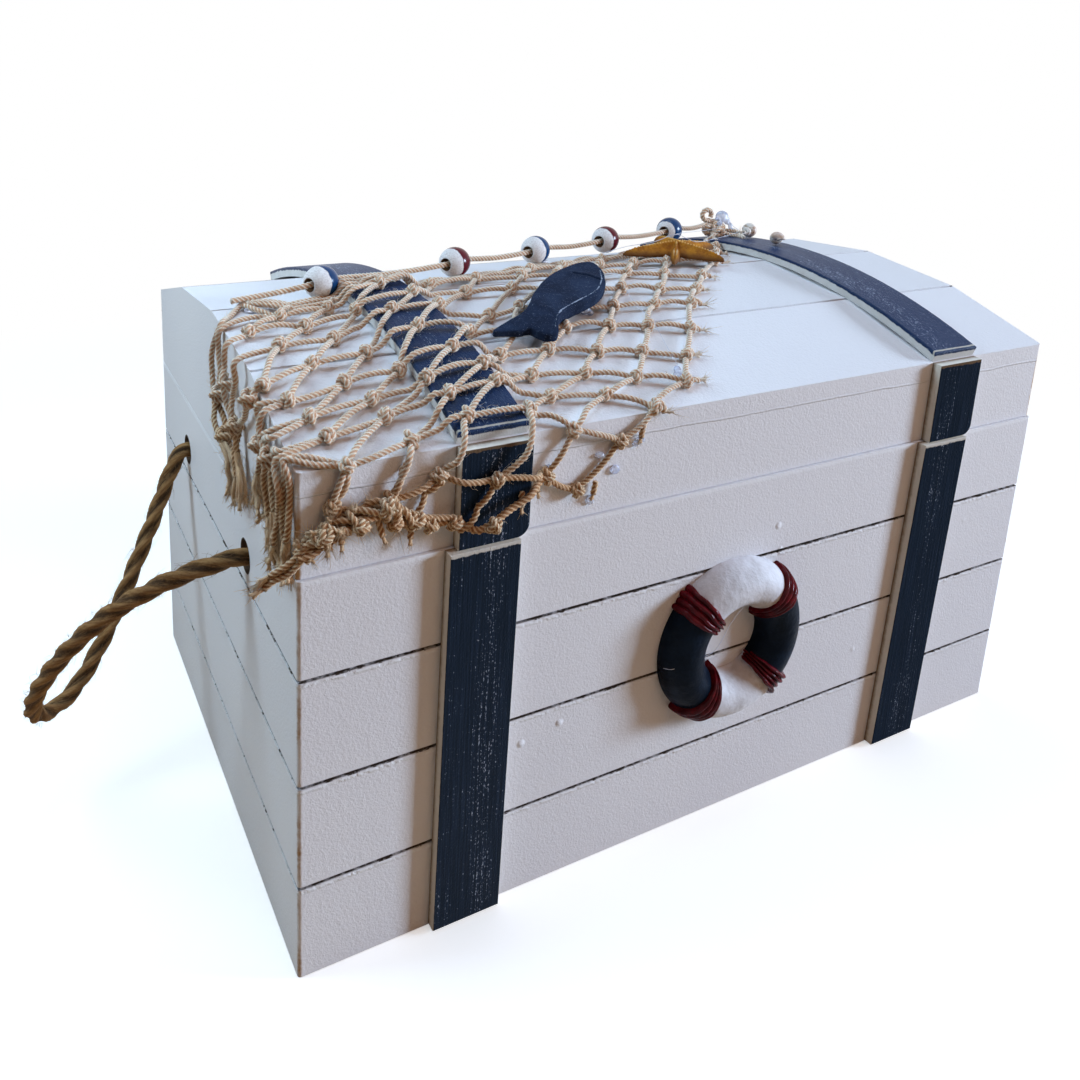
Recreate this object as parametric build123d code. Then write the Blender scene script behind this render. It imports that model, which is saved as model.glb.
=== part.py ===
from build123d import *
import math
import os

# A domed keepsake chest in painted board: a boarded box, an arched lid on two butt hinges, dark straps,
# a rope handle through each end, and seaside ornaments on the front and the lid.
# Frame: millimetres, origin at the middle of the box's underside, +X along the length, -Y to the front,
# +Z up.

# ---- driving dimensions: box -------------------------------------------------------------------------
length = 300.0
depth = 185.0
base_height = 127.7
wall = 7.0                  # board of the box and of the lid's rim
corner_round = 1.2          # sanded upright corners
edge_round = 0.5            # sanded top and bottom arrises of the box
floor_thick = 4.0
floor_rebate = 3.5          # how far the floor is let into each wall
floor_fit = 0.15            # gap round the floor's edge
board_count = 4             # the grooves make the walls look boarded
lowest_board = 31.2
board_pitch = 33.4
groove_width = 1.1
groove_deep = 1.4
cut_over = 1.0              # how far a cutting tool runs past the face it cuts

# ---- driving dimensions: lid -------------------------------------------------------------------------
lid_gap = 0.3               # seam between box and lid
lid_setback = 1.0           # the lid's front stands this far behind the box's front
rim_height = 30.0
lid_rise = 17.0             # crown above the rim's top arris
slat_thick = 6.0
slat_joint = 0.1            # gap between neighbouring slats at their underside
outer_slat_plan = 44.0      # depth covered by the front and by the back slat, seen from above

# ---- driving dimensions: straps ----------------------------------------------------------------------
strap_width = 22.5
strap_thick = 3.8
strap_round = 0.4
strap_inset = 53.9          # from an end of the box to the middle of its strap
base_strap_shift = -0.8     # the glued straps sit a little off the middle
lid_strap_shift = 2.1
base_strap_lean = (0.5, 2.0)      # degrees out of plumb, left and right
base_strap_lift = 1.0       # underside above the table
rim_strap_corner = 4.0      # rounded lower corner of the rim's straps
crown_strap_inset = 0.6     # from the lid's front and back edges
glue_line = 0.05

# ---- driving dimensions: hinges ----------------------------------------------------------------------
hinge_inset = 55.0          # from an end of the box to the middle of its hinge
hinge_width = 25.0
leaf_height = 10.0
leaf_thick = 0.9
knuckle_radius = 1.9
knuckle_count = 3
knuckle_gap = 0.2
pin_radius = 0.9
pin_clear = 0.05            # running fit all round the pin
pin_head = 0.6
pin_head_radius = 1.52
hinge_stand = 0.2           # the knuckle's clearance from the back
leaf_clear = 0.3            # from a leaf's edge to the other leaf's knuckle
screw_spread = 15.0
screw_radius = 0.8
screw_head_radius = 1.7
screw_head_high = 0.6
screw_long = 5.5
screw_fit = 0.05

# ---- driving dimensions: rope handles ----------------------------------------------------------------
rope_diameter = 6.0
rope_hole = 11.0
rope_hole_spread = 85.0
rope_hole_height = 107.6
rope_hole_shift = 3.5       # the pair of holes sits behind the middle
mouth_stand = 3.5           # where the rope bends, outside the wall
tail_gap = 0.3              # between the loop's rounded end and the length in the hole
knot_radius = 7.2
knot_seat = 0.3             # between the stopper knot and the hole's rim, which it sits in
RUN_SHARE = 0.45            # share of the shorter run that an arc of the rope may take

# The left loop's route from its front mouth to its back mouth: out from the wall, back from the handle's
# middle, and up from the holes.
rope_route = [
    (13.5, -41.5, -1.5),
    (26.0, -36.5, -7.5),
    (39.5, -28.5, -18.5),
    (51.0, -19.5, -34.0),
    (58.5, -10.5, -50.5),
    (60.3, -2.0, -63.5),
    (57.5, 6.0, -72.0),
    (50.5, 12.5, -74.3),
    (43.0, 17.5, -69.8),
    (36.0, 21.5, -60.5),
    (29.0, 25.5, -49.0),
    (22.3, 30.0, -37.0),
    (15.5, 34.5, -24.5),
    (9.5, 38.5, -12.0),
]

# ---- driving dimensions: life ring -------------------------------------------------------------------
ring_outer = 29.3
ring_inner = 12.5
ring_proud = 10.0
ring_height = 70.8
ring_seat = 0.05
band_arc = 21.0             # degrees of the ring that each band covers
band_thick = 1.0
band_angles = (40.0, 137.0, 226.0, 312.0)

# ---- driving dimensions: net, cord, beads ------------------------------------------------------------
net_clear = 0.3
net_thick = 3.0
net_side_margin = 1.0       # how far the net's masks pass its own faces
bead_diameter = 11.0
bead_long = 12.6
bead_hole = 3.8
bead_cord_diameter = 2.4
bead_strap_gap = 0.95       # from the first bead to the left strap
bead_shares = (-0.1867, -0.0517, 0.0817, 0.22)   # the other beads: shares of the length, from the middle
bead_line_back = 2.7        # the cord behind the lid's middle at the first bead
bead_line_slope = 0.2229    # the cord runs back as it goes right
cord_start_inset = 6.0      # the cord's left end, tucked into the net: from the end of the box
cord_start_ahead = 1.5      # and ahead of the lid's middle
cord_start_lift = 3.0       # and above the crown
tie_knot_share = 0.3233
tie_knot_size = (9.0, 8.0, 6.0)    # half sizes
shell_sizes = ((6.0, 4.2, 3.6), (5.2, 3.8, 3.4))
shell_places = ((0.3383, 0.3261), (0.345, 0.125))   # shares of the length and of the half span

# Outline of the net on the lid, seen from above, from the back left corner round by the right:
# shares of the length and of the half span, from the lid's middle.
net_top_outline = [
    (-0.5, -0.0815),
    (-0.3733, -0.0467),
    (-0.2, 0.0652),
    (-0.05, 0.1739),
    (0.0833, 0.2717),
    (0.22, 0.3696),
    (0.29, 0.4293),
    (0.1033, -0.3533),
    (0.02, -0.6576),
    (-0.0267, -0.8207),
    (-0.0833, -1.0109),
    (-0.5, -1.0109),
]
# Lower edge of the net on the front of the rim: share of the length, and height above the seam as a
# share of the rim's height.
net_front_edge = [
    (-0.0833, 1.0),
    (-0.1367, 0.7667),
    (-0.1933, 0.3167),
    (-0.2667, 0.5167),
    (-0.3233, 0.1667),
    (-0.3767, 0.5333),
    (-0.4333, 0.55),
    (-0.4767, 0.4333),
    (-0.5, 0.1667),
]
# Lower edge of the net on the left end: share of the half span, and height above the seam as a share of
# the rim's height.
net_left_edge = [
    (-1.0109, 0.1667),
    (-0.8859, 0.0667),
    (-0.6793, 0.1),
    (-0.5054, 0.0833),
    (-0.375, 0.3),
    (-0.2446, 0.6333),
    (-0.1576, 1.1667),
    (-0.0815, 1.5333),
]

# ---- driving dimensions: fish and starfish -----------------------------------------------------------
fish_thick = 5.0
fish_round = 1.4
fish_tip_round = 1.2        # in plan, at the tips of the tail
fish_tilt = 10.0            # degrees, lying over the front ridge of the lid
fish_turn = 38.0            # degrees, nose to the back right
fish_tail_share = -0.2067   # the tail's notch: share of the length from the middle
fish_tail_ahead = 6.0       # and distance ahead of the lid's front ridge
mouth_place = (48.5, -4.4)
mouth_long = 14.0
mouth_wide = 0.9
mouth_deep = 1.4
# Outline of the fish from the tail's notch, along and across: the back, then nose and belly.
fish_back = [(-7.8, 8.9), (0.0, 8.2), (10.0, 6.2), (21.0, 8.3), (36.5, 10.3), (50.0, 9.2), (60.0, 5.6)]
fish_belly = [(64.0, 0.6), (59.0, -4.9), (48.0, -9.5), (36.0, -9.8), (24.0, -7.0), (15.0, -5.4), (8.5, -6.9)]
fish_lobe = [(2.5, -9.6), (-1.6, -7.4)]
star_radius = 25.0
star_half_wide = 6.5        # of an arm at the middle
star_high = 6.6
star_tip_share = (0.5, 0.7)       # width and height at the tip, as shares of those at the middle
star_cap_share = (0.22, 0.35)     # and at the end of the rounded tip
star_cap_long = 1.6
star_share = 0.145          # the middle: share of the length
star_back = 8.0             # and distance behind the lid's middle
# Arms of the starfish: direction in degrees, and reach as a share of the radius.
star_arms = [(12.0, 1.0), (72.0, 1.08), (168.0, 0.96), (231.0, 0.8), (305.0, 0.84)]
# Section of an arm: shares of the half width and of the height.
star_section = [(-1.0, 0.0), (-0.92, 0.5), (-0.55, 0.87), (0.0, 1.0), (0.55, 0.87), (0.92, 0.5), (1.0, 0.0)]
ornament_seat = 0.3

# ---- worked-out places -------------------------------------------------------------------------------
front = -depth / 2
back = depth / 2
lid_front = front + lid_setback
lid_middle = (lid_front + back) / 2
seam = base_height + lid_gap
arris = seam + rim_height
crown = arris + lid_rise
half_span = (back - lid_front) / 2
crown_radius = (half_span ** 2 + lid_rise ** 2) / (2 * lid_rise)
crown_centre = crown - crown_radius
hinge_y = back + knuckle_radius + hinge_stand
hinge_z = base_height + lid_gap / 2
handle_y = rope_hole_shift
strap_spread = length - 2 * strap_inset
hinge_spread = length - 2 * hinge_inset
rope_radius = rope_diameter / 2
SIDES = (("left", -1), ("right", 1))


def arch_height(y):
    """Height of the lid's arch at a distance y from the middle of the box."""
    return crown_centre + math.sqrt(crown_radius ** 2 - (y - lid_middle) ** 2)


ridge_ys = [lid_front, lid_front + outer_slat_plan, lid_middle, back - outer_slat_plan, back]
ridges = [(y, arch_height(y)) for y in ridge_ys]


def prism_up(points, bottom, height):
    """A prism on an outline seen from above."""
    return Pos(0, 0, bottom) * extrude(make_face(Polyline(*points, close=True)), amount=height)


def prism_along(points, width, centre=0.0):
    """A prism along X on an outline in the Y-Z plane."""
    face = Plane.YZ * make_face(Polyline(*points, close=True))
    return Pos(centre, 0, 0) * extrude(face, amount=width / 2, both=True)


def upright_edges(solid):
    return solid.edges().filter_by(Axis.Z)


def write(name, *solids):
    """One STEP file per node; several solids make a group."""
    shape = Compound(children=list(solids)) if len(solids) > 1 else solids[0]
    export_step(shape, os.path.join("parts", name + ".step"))


# ---- box ---------------------------------------------------------------------------------------------
def base_envelope():
    block = Pos(0, 0, base_height / 2) * Box(length, depth, base_height)
    block = fillet(upright_edges(block), corner_round)
    return fillet(block.faces().sort_by(Axis.Z)[0].edges(), edge_round)


def grooves():
    """Square grooves round all four walls."""
    cuts = []
    for board in range(board_count - 1):
        level = lowest_board + board * board_pitch
        outside = Box(length + 2 * cut_over, depth + 2 * cut_over, groove_width)
        inside = Box(length - 2 * groove_deep, depth - 2 * groove_deep, groove_width + cut_over)
        cuts.append(Pos(0, 0, level) * (outside - inside))
    return cuts


def long_wall(sign, bottom, height, outer_y):
    """A front or back board, mitred at both ends; sign is -1 for the front."""
    half = length / 2
    inner_y = outer_y - sign * wall
    points = [(-half, outer_y), (half, outer_y), (half - wall, inner_y), (-half + wall, inner_y)]
    return prism_up(points, bottom, height)


def end_wall(sign, bottom, height, near_y, far_y):
    """A left or right board, mitred at both ends; sign is -1 for the left."""
    outer_x = sign * length / 2
    inner_x = outer_x - sign * wall
    points = [(outer_x, near_y), (outer_x, far_y), (inner_x, far_y - wall), (inner_x, near_y + wall)]
    return prism_up(points, bottom, height)


def floor_recess():
    wide = length - 2 * (wall - floor_rebate)
    deep = depth - 2 * (wall - floor_rebate)
    return Pos(0, 0, floor_thick / 2) * Box(wide, deep, floor_thick)


def rope_holes(sign):
    for place in (-1, 1):
        y = handle_y + place * rope_hole_spread / 2
        yield Pos(sign * length / 2, y, rope_hole_height) * Rot(0, 90, 0) * Cylinder(rope_hole / 2, 4 * wall)


def screw_places(sign_z):
    """Middles of one leaf row's screws on the back; sign_z is -1 on the box and 1 on the lid."""
    level = hinge_z + sign_z * (leaf_height + knuckle_radius) / 2
    for side in (-1, 1):
        for place in (-1, 1):
            yield (side * hinge_spread / 2 + place * screw_spread / 2, level)


def pilot_holes(sign_z):
    for x, z in screw_places(sign_z):
        yield Pos(x, back, z) * Rot(90, 0, 0) * Cylinder(screw_radius + screw_fit, 2 * screw_long)


def build_base():
    block = base_envelope()
    cuts = grooves() + [floor_recess()]
    walls = {
        "base_front": long_wall(-1, 0, base_height, front),
        "base_back": long_wall(1, 0, base_height, back),
        "base_left": end_wall(-1, 0, base_height, front, back),
        "base_right": end_wall(1, 0, base_height, front, back),
    }
    for name, blank in walls.items():
        board = blank & block
        for cut in cuts:
            board -= cut
        walls[name] = board
    for side, sign in SIDES:
        for hole in rope_holes(sign):
            walls["base_" + side] -= hole
    for hole in pilot_holes(-1):
        walls["base_back"] -= hole
    recess = 2 * (wall - floor_rebate + floor_fit)
    walls["base_floor"] = Pos(0, 0, floor_thick / 2) * Box(length - recess, depth - recess, floor_thick)
    return walls


# ---- lid ---------------------------------------------------------------------------------------------
def lid_outline():
    return [(lid_front, seam)] + ridges + [(back, seam)]


def lid_envelope():
    block = prism_along(lid_outline(), length)
    return fillet(upright_edges(block), corner_round)


def slat_frame(start, end):
    """Plane across a slat at one ridge: local x along the length, local y down into the slat."""
    along = Vector(0, end[0] - start[0], end[1] - start[1]).normalized()
    return Plane(origin=(0, start[0], start[1]), x_dir=(1, 0, 0), z_dir=along), along


def slat_blank(start, end, trim_start, trim_end):
    """A slat with mitred ends, between two ridges; a negative trim lets it run on past the ridge."""
    plane, along = slat_frame(start, end)
    chord = math.dist(start, end)
    half = length / 2
    section = [(-half, 0), (half, 0), (half - slat_thick, slat_thick), (-half + slat_thick, slat_thick)]
    face = plane * make_face(Polyline(*section, close=True))
    body = extrude(face, amount=chord - trim_start - trim_end)
    return Pos(*(along * trim_start)) * body


def ridge_turn(place):
    """Half the angle between the slats that meet at an inner ridge."""
    slopes = []
    for start, end in ((ridges[place - 1], ridges[place]), (ridges[place], ridges[place + 1])):
        slopes.append(math.atan2(end[1] - start[1], end[0] - start[0]))
    return (slopes[0] - slopes[1]) / 2


def build_lid():
    block = lid_envelope()
    last = len(ridges) - 1
    pieces = {}
    bands = []
    for number in range(last):
        start, end = ridges[number], ridges[number + 1]
        trims = []
        for place in (number, number + 1):
            inner = 0 < place < last
            trims.append(slat_thick * math.tan(ridge_turn(place)) + slat_joint / 2 if inner else -slat_thick)
        pieces["lid_slat_%d" % (number + 1)] = slat_blank(start, end, *trims) & block
        runs_on = [0.0 if 0 < place < last else -slat_thick for place in (number, number + 1)]
        bands.append(slat_blank(start, end, *runs_on))
    tall = crown - seam
    pieces["lid_front_rim"] = long_wall(-1, seam, tall, lid_front)
    pieces["lid_back_rim"] = long_wall(1, seam, tall, back)
    for side, sign in SIDES:
        pieces["lid_%s_end" % side] = end_wall(sign, seam, tall, lid_front, back)
    for name in ("lid_front_rim", "lid_back_rim", "lid_left_end", "lid_right_end"):
        board = pieces[name] & block
        for band in bands:
            board -= band
        pieces[name] = board
    for hole in pilot_holes(1):
        pieces["lid_back_rim"] -= hole
    return pieces


# ---- straps ------------------------------------------------------------------------------------------
def strap_x(sign, shift):
    return sign * strap_spread / 2 + shift


def soften(solid):
    """Takes the sharp edges off the outer face of a front strap."""
    outer = solid.faces().sort_by(Axis.Y)[0]
    return fillet(outer.edges(), strap_round)


def base_strap(sign, lean):
    tall = base_height - base_strap_lift
    bar = Pos(0, -strap_thick / 2, -tall / 2) * Box(strap_width, strap_thick, 2 * tall)
    bar = Pos(strap_x(sign, base_strap_shift), front, base_height) * Rot(0, lean, 0) * bar
    middle = base_strap_lift + tall / 2
    return soften(bar & (Pos(0, front, middle) * Box(length, 4 * strap_thick, tall)))


def rim_strap_blank(sign, grow=0.0):
    """The rim's strap, or the space of a strap that is larger all round by grow."""
    size = (strap_width + 2 * grow, strap_thick + grow, rim_height + grow)
    bar = Box(*size, align=(Align.CENTER, Align.MAX, Align.MIN))
    return Pos(strap_x(sign, lid_strap_shift), lid_front, seam) * bar


def rim_strap(sign):
    bar = rim_strap_blank(sign)
    lower_right = bar.edges().filter_by(Axis.Y).group_by(Axis.Z)[0].sort_by(Axis.X)[-1]
    return soften(fillet(lower_right, rim_strap_corner))


def crown_arc(radius, reach):
    """Three points of an arc over the lid, reaching the same distance to the front and to the back."""
    angle = math.asin(reach / crown_radius)
    points = []
    for turn in (-angle, 0.0, angle):
        points.append((lid_middle + radius * math.sin(turn), crown_centre + radius * math.cos(turn)))
    return points


def crown_strap_blank(sign, lower, upper, width, reach):
    """A bent strap over the lid between two radii."""
    inside = crown_arc(lower, reach)
    outside = crown_arc(upper, reach)
    edges = [
        ThreePointArc(*inside),
        Line(inside[2], outside[2]),
        ThreePointArc(*reversed(outside)),
        Line(outside[0], inside[0]),
    ]
    face = Plane.YZ * make_face(edges)
    return Pos(strap_x(sign, lid_strap_shift), 0, 0) * extrude(face, amount=width / 2, both=True)


def crown_strap(sign):
    lower = crown_radius + glue_line
    reach = half_span - crown_strap_inset
    bar = crown_strap_blank(sign, lower, lower + strap_thick, strap_width, reach)
    top = bar.faces().filter_by(GeomType.CYLINDER).sort_by(Axis.Z)[-1]
    return fillet(top.edges(), strap_round)


def build_straps():
    pieces = {}
    for (side, sign), lean in zip(SIDES, base_strap_lean):
        pieces["base_strap_" + side] = base_strap(sign, lean)
        pieces["rim_strap_" + side] = rim_strap(sign)
        pieces["crown_strap_" + side] = crown_strap(sign)
    return pieces


# ---- hinges ------------------------------------------------------------------------------------------
def rod(radius, width, x):
    """A round bar along the hinge's axis."""
    return Pos(x, hinge_y, hinge_z) * Rot(0, 90, 0) * Cylinder(radius, width)


def hinge_leaf(x, sign_z, knuckles):
    """One leaf of a butt hinge; knuckles are the places that this leaf's own knuckles take."""
    pitch = hinge_width / knuckle_count
    tall = leaf_height + knuckle_radius
    plate = Pos(x, back, hinge_z + sign_z * tall / 2) * Box(
        hinge_width, leaf_thick, tall, align=(Align.CENTER, Align.MIN, Align.CENTER)
    )
    for place in range(knuckle_count):
        centre = x + (place - (knuckle_count - 1) / 2) * pitch
        if place in knuckles:
            plate += rod(knuckle_radius, pitch - knuckle_gap, centre)
        else:
            plate -= rod(knuckle_radius + leaf_clear, pitch + knuckle_gap, centre)
    plate -= rod(pin_radius + pin_clear, hinge_width + 2 * cut_over, x)
    for sx, sz in screw_places(sign_z):
        plate -= Pos(sx, back, sz) * Rot(90, 0, 0) * Cylinder(screw_radius + screw_fit, 4 * leaf_thick)
    return plate


def hinge_pin(x):
    """The pin with a flat head at each end."""
    pin = rod(pin_radius, hinge_width + 2 * knuckle_gap, x)
    for sign in (-1, 1):
        end = x + sign * (hinge_width / 2 + knuckle_gap + pin_head / 2)
        pin += rod(pin_head_radius, pin_head, end)
    return pin


def screw(x, z):
    """A round-headed screw driven in from the back; its slot is left to the finish."""
    shank = Cylinder(screw_radius, screw_long, align=(Align.CENTER, Align.CENTER, Align.MAX))
    bulge = (screw_head_radius ** 2 + screw_head_high ** 2) / (2 * screw_head_high)
    head = Pos(0, 0, screw_head_high - bulge) * Sphere(bulge)
    head &= Cylinder(screw_head_radius, screw_head_high, align=(Align.CENTER, Align.CENTER, Align.MIN))
    return Pos(x, back + leaf_thick, z) * Rot(-90, 0, 0) * (shank + head)


def build_hinges():
    pieces = {}
    outer = (0, knuckle_count - 1)
    inner = tuple(range(1, knuckle_count - 1))
    for side, sign in SIDES:
        x = sign * hinge_spread / 2
        pieces["hinge_%s_base_leaf" % side] = hinge_leaf(x, -1, outer)
        pieces["hinge_%s_lid_leaf" % side] = hinge_leaf(x, 1, inner)
        pieces["hinge_%s_pin" % side] = hinge_pin(x)
    groups = {
        "hinge_screws_base": [screw(x, z) for x, z in screw_places(-1)],
        "hinge_screws_lid": [screw(x, z) for x, z in screw_places(1)],
    }
    return pieces, groups


# ---- rope handles ------------------------------------------------------------------------------------
def mouth(sign, place):
    """Where the rope turns outside a hole; place is -1 at the front hole and 1 at the back hole."""
    y = handle_y + place * rope_hole_spread / 2
    return Vector(sign * (length / 2 + mouth_stand), y, rope_hole_height)


def rope_points(sign):
    points = [mouth(sign, -1)]
    for out, along, up in rope_route:
        points.append(Vector(sign * (length / 2 + out), handle_y + along, rope_hole_height + up))
    points.append(mouth(sign, 1))
    return points


def bend_radii(points):
    """One radius for each inner point, as large as its two runs allow."""
    radii = []
    for before, here, after in zip(points, points[1:], points[2:]):
        first = here - before
        second = after - here
        turn = math.radians(first.get_angle(second))
        radii.append(RUN_SHARE * min(first.length, second.length) / math.tan(turn / 2))
    return radii


def cord_tube(points, diameter, name):
    """A round cord of straight runs and tangent arcs."""
    radii = bend_radii(points)
    path = FilletPolyline(*points, radius=radii)
    start = Plane(origin=points[0], z_dir=points[1] - points[0])
    tube = sweep(start * Circle(diameter / 2), path=path)
    ideal = math.pi * diameter ** 2 / 4 * path.length
    print(name, "length %.1f" % path.length, "volume share %.4f" % (tube.volume / ideal))
    print(name, "radii", " ".join("%.0f" % radius for radius in radii))
    return tube


def rope_loop(side, sign):
    """The loop outside the box, with rounded ends at the two mouths."""
    points = rope_points(sign)
    loop = cord_tube(points, rope_diameter, "rope_" + side)
    for end in (points[0], points[-1]):
        loop += Pos(*end) * Sphere(rope_radius)
    return loop


def rope_tail(sign, place):
    """The length of rope in a hole, with its stopper knot inside the box."""
    out = Plane(origin=mouth(sign, place), z_dir=(sign, 0, 0))
    outer = -rope_radius - tail_gap
    sunk = math.sqrt((knot_radius + knot_seat) ** 2 - (rope_hole / 2) ** 2)
    inner = -mouth_stand - wall - sunk
    stub = Cylinder(rope_radius, outer - inner, align=(Align.CENTER, Align.CENTER, Align.MIN))
    return out * Pos(0, 0, inner) * (stub + Sphere(knot_radius))


# ---- ornaments ---------------------------------------------------------------------------------------
def half_round(radius, wide, proud, grow):
    """Half an ellipse on the front face, turned into a ring by a revolve about the ring's own axis."""
    face = Plane.XY * (Pos(radius, 0) * Ellipse(wide + grow, proud + grow))
    keep = Pos(radius, -(proud + grow)) * Rectangle(4 * wide, 2 * (proud + grow))
    return face & keep


def build_ring():
    middle = (ring_outer + ring_inner) / 2
    wide = (ring_outer - ring_inner) / 2
    place = Pos(0, front - ring_seat, ring_height)
    body = revolve(half_round(middle, wide, ring_proud, 0), axis=Axis.Y)
    bands = []
    for angle in band_angles:
        wrap = half_round(middle, wide, ring_proud, band_thick) - half_round(middle, wide, ring_proud, 0)
        band = revolve(wrap, axis=Axis.Y, revolution_arc=band_arc)
        bands.append(place * Rot(0, band_arc / 2 - angle, 0) * band)
    return place * body, bands


def grown_lid(grow):
    face = offset(make_face(Polyline(*lid_outline(), close=True)), amount=grow, kind=Kind.INTERSECTION)
    shape = extrude(Plane.YZ * face, amount=length / 2 + grow, both=True)
    shape += rim_strap_blank(-1, grow)
    reach = half_span + grow - crown_strap_inset
    upper = crown_radius + glue_line + strap_thick + grow
    return shape + crown_strap_blank(-1, crown_radius - slat_thick, upper, strap_width + 2 * grow, reach)


def build_net():
    """The net as one plain sheet over the lid, its front rim and its left end."""
    proud = net_clear + net_thick + strap_thick + net_side_margin
    top_outline = [(x * length, lid_middle + y * half_span) for x, y in net_top_outline]
    top = prism_up(top_outline, arris - proud, crown - arris + 3 * proud)
    over = crown + 2 * proud
    front_face = [(x * length, seam + z * rim_height) for x, z in net_front_edge]
    front_face += [(-length / 2 - proud, front_face[-1][1]), (-length / 2 - proud, over)]
    front_face += [(front_face[0][0], over)]
    sheet = Plane.XZ * make_face(Polyline(*front_face, close=True))
    ahead = Pos(0, lid_front, 0) * extrude(sheet, amount=proud)
    left_face = [(lid_middle + y * half_span, seam + z * rim_height) for y, z in net_left_edge]
    left_face += [(left_face[-1][0], over), (left_face[0][0] - proud, over)]
    left_face += [(left_face[0][0] - proud, left_face[0][1])]
    beside = prism_along(left_face, proud, -length / 2 - proud / 2)
    mask = top + ahead + beside
    shell = grown_lid(net_clear + net_thick) - grown_lid(net_clear)
    return shell & mask


def egg(sizes):
    """A solid with three half sizes."""
    return scale(Sphere(1.0), by=sizes)


def first_bead():
    """Where the first bead sits, just left of the left strap."""
    return strap_x(-1, lid_strap_shift) - (strap_width + bead_long) / 2 - bead_strap_gap


def bead_point(x):
    """A point of the taut bead cord, which carries the beads just clear of the crown."""
    along = x - first_bead()
    level = crown + ornament_seat + bead_diameter / 2
    return Vector(x, lid_middle + bead_line_back + bead_line_slope * along, level)


def build_beads():
    stations = [first_bead()] + [share * length for share in bead_shares]
    aim = bead_point(stations[1]) - bead_point(stations[0])
    pieces = {}
    for number, x in enumerate(stations, 1):
        frame = Plane(origin=bead_point(x), z_dir=aim)
        bead = egg((bead_diameter / 2, bead_diameter / 2, bead_long / 2))
        pieces["bead_%d" % number] = frame * (bead - Cylinder(bead_hole / 2, bead_long))
    start = Vector(-length / 2 + cord_start_inset, lid_middle - cord_start_ahead, crown + cord_start_lift)
    entry = bead_point(stations[0] - bead_long)
    finish = bead_point(tie_knot_share * length - tie_knot_size[0])
    pieces["bead_cord"] = cord_tube([start, entry, finish], bead_cord_diameter, "bead_cord")
    return pieces


def build_tie_knot():
    """The bundle that ends the bead cord, resting on the right strap."""
    return Pos(*bead_point(tie_knot_share * length)) * egg(tie_knot_size)


def build_shells():
    shells = []
    for (along, across), sizes in zip(shell_places, shell_sizes):
        y = lid_middle + across * half_span
        top = arch_height(y) + glue_line + strap_thick + ornament_seat
        shells.append(Pos(along * length, y, top + sizes[2]) * egg(sizes))
    return shells


def build_fish():
    """A flat carved fish with eased edges and a cut for its mouth."""
    spot = Pos(fish_tail_share * length, -fish_tail_ahead) * Rot(0, 0, fish_turn)
    outline = Spline(*(fish_back + fish_belly + fish_lobe[:1]))
    tail = Polyline(fish_lobe[0], fish_lobe[1], (0, 0), fish_back[0])
    body = extrude(spot * make_face([outline, tail]), amount=fish_thick)
    body = fillet(upright_edges(body), fish_tip_round)
    body = fillet(body.faces().sort_by(Axis.Z)[-1].edges(), fish_round)
    slot = spot * Pos(*mouth_place, fish_thick) * Box(mouth_wide, mouth_long, 2 * mouth_deep)
    ridge = Plane(origin=(0, ridges[1][0], ridges[1][1]), x_dir=(1, 0, 0)).rotated((fish_tilt, 0, 0))
    return Pos(0, 0, net_clear + net_thick + ornament_seat) * ridge * (body - slot)


def star_arm(direction, reach):
    """One tapered arm with a rounded back and a blunt tip, from the starfish's middle."""
    sections = []
    tip = reach * star_radius
    for place, (wide, high) in ((0, (1, 1)), (tip - star_cap_long, star_tip_share), (tip, star_cap_share)):
        outline = [(x * wide * star_half_wide, z * high * star_high) for x, z in star_section]
        across = Plane(origin=(place, 0, 0), x_dir=(0, 1, 0), z_dir=(1, 0, 0))
        sections.append(across * make_face(Polyline(*outline, close=True)))
    return Rot(0, 0, direction) * loft(sections, ruled=True)


def build_starfish():
    """Five arms that meet in the middle."""
    body = star_arm(*star_arms[0])
    for arm in star_arms[1:]:
        body += star_arm(*arm)
    seat = crown + net_clear + net_thick + ornament_seat
    return Pos(star_share * length, lid_middle + star_back, seat) * body


def main():
    os.makedirs("parts", exist_ok=True)
    single = {}
    single.update(build_base())
    single.update(build_lid())
    single.update(build_straps())
    hinges, groups = build_hinges()
    single.update(hinges)
    for side, sign in SIDES:
        single["rope_" + side] = rope_loop(side, sign)
        groups["rope_%s_tails" % side] = [rope_tail(sign, place) for place in (-1, 1)]
    ring, bands = build_ring()
    single["life_ring"] = ring
    groups["life_ring_bands"] = bands
    single["fishing_net"] = build_net()
    single.update(build_beads())
    single["tie_knot"] = build_tie_knot()
    groups["shells"] = build_shells()
    single["wooden_fish"] = build_fish()
    single["starfish"] = build_starfish()
    for name, solid in single.items():
        write(name, solid)
    for name, solids in groups.items():
        write(name, *solids)


main()
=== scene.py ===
# %% [markdown]
# # A painted keepsake chest, dressed in Blender
#
# The chest is about as long as a forearm: a boarded box, an arched lid, dark straps, a rope handle through
# each end, and seaside ornaments glued on. Its boards, straps and hinges come from the construction model
# with their real sizes, and this lesson gives them their finish. What is soft or hand-made is built here:
# the laid rope, the knotted net, the beads' cord, the carved fish, the starfish and the shells.
# Everything is in metres, in the construction model's own place.

# %% The construction model
import math
import bpy
import numpy as np
from mathutils import Matrix, Quaternion, Vector


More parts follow.
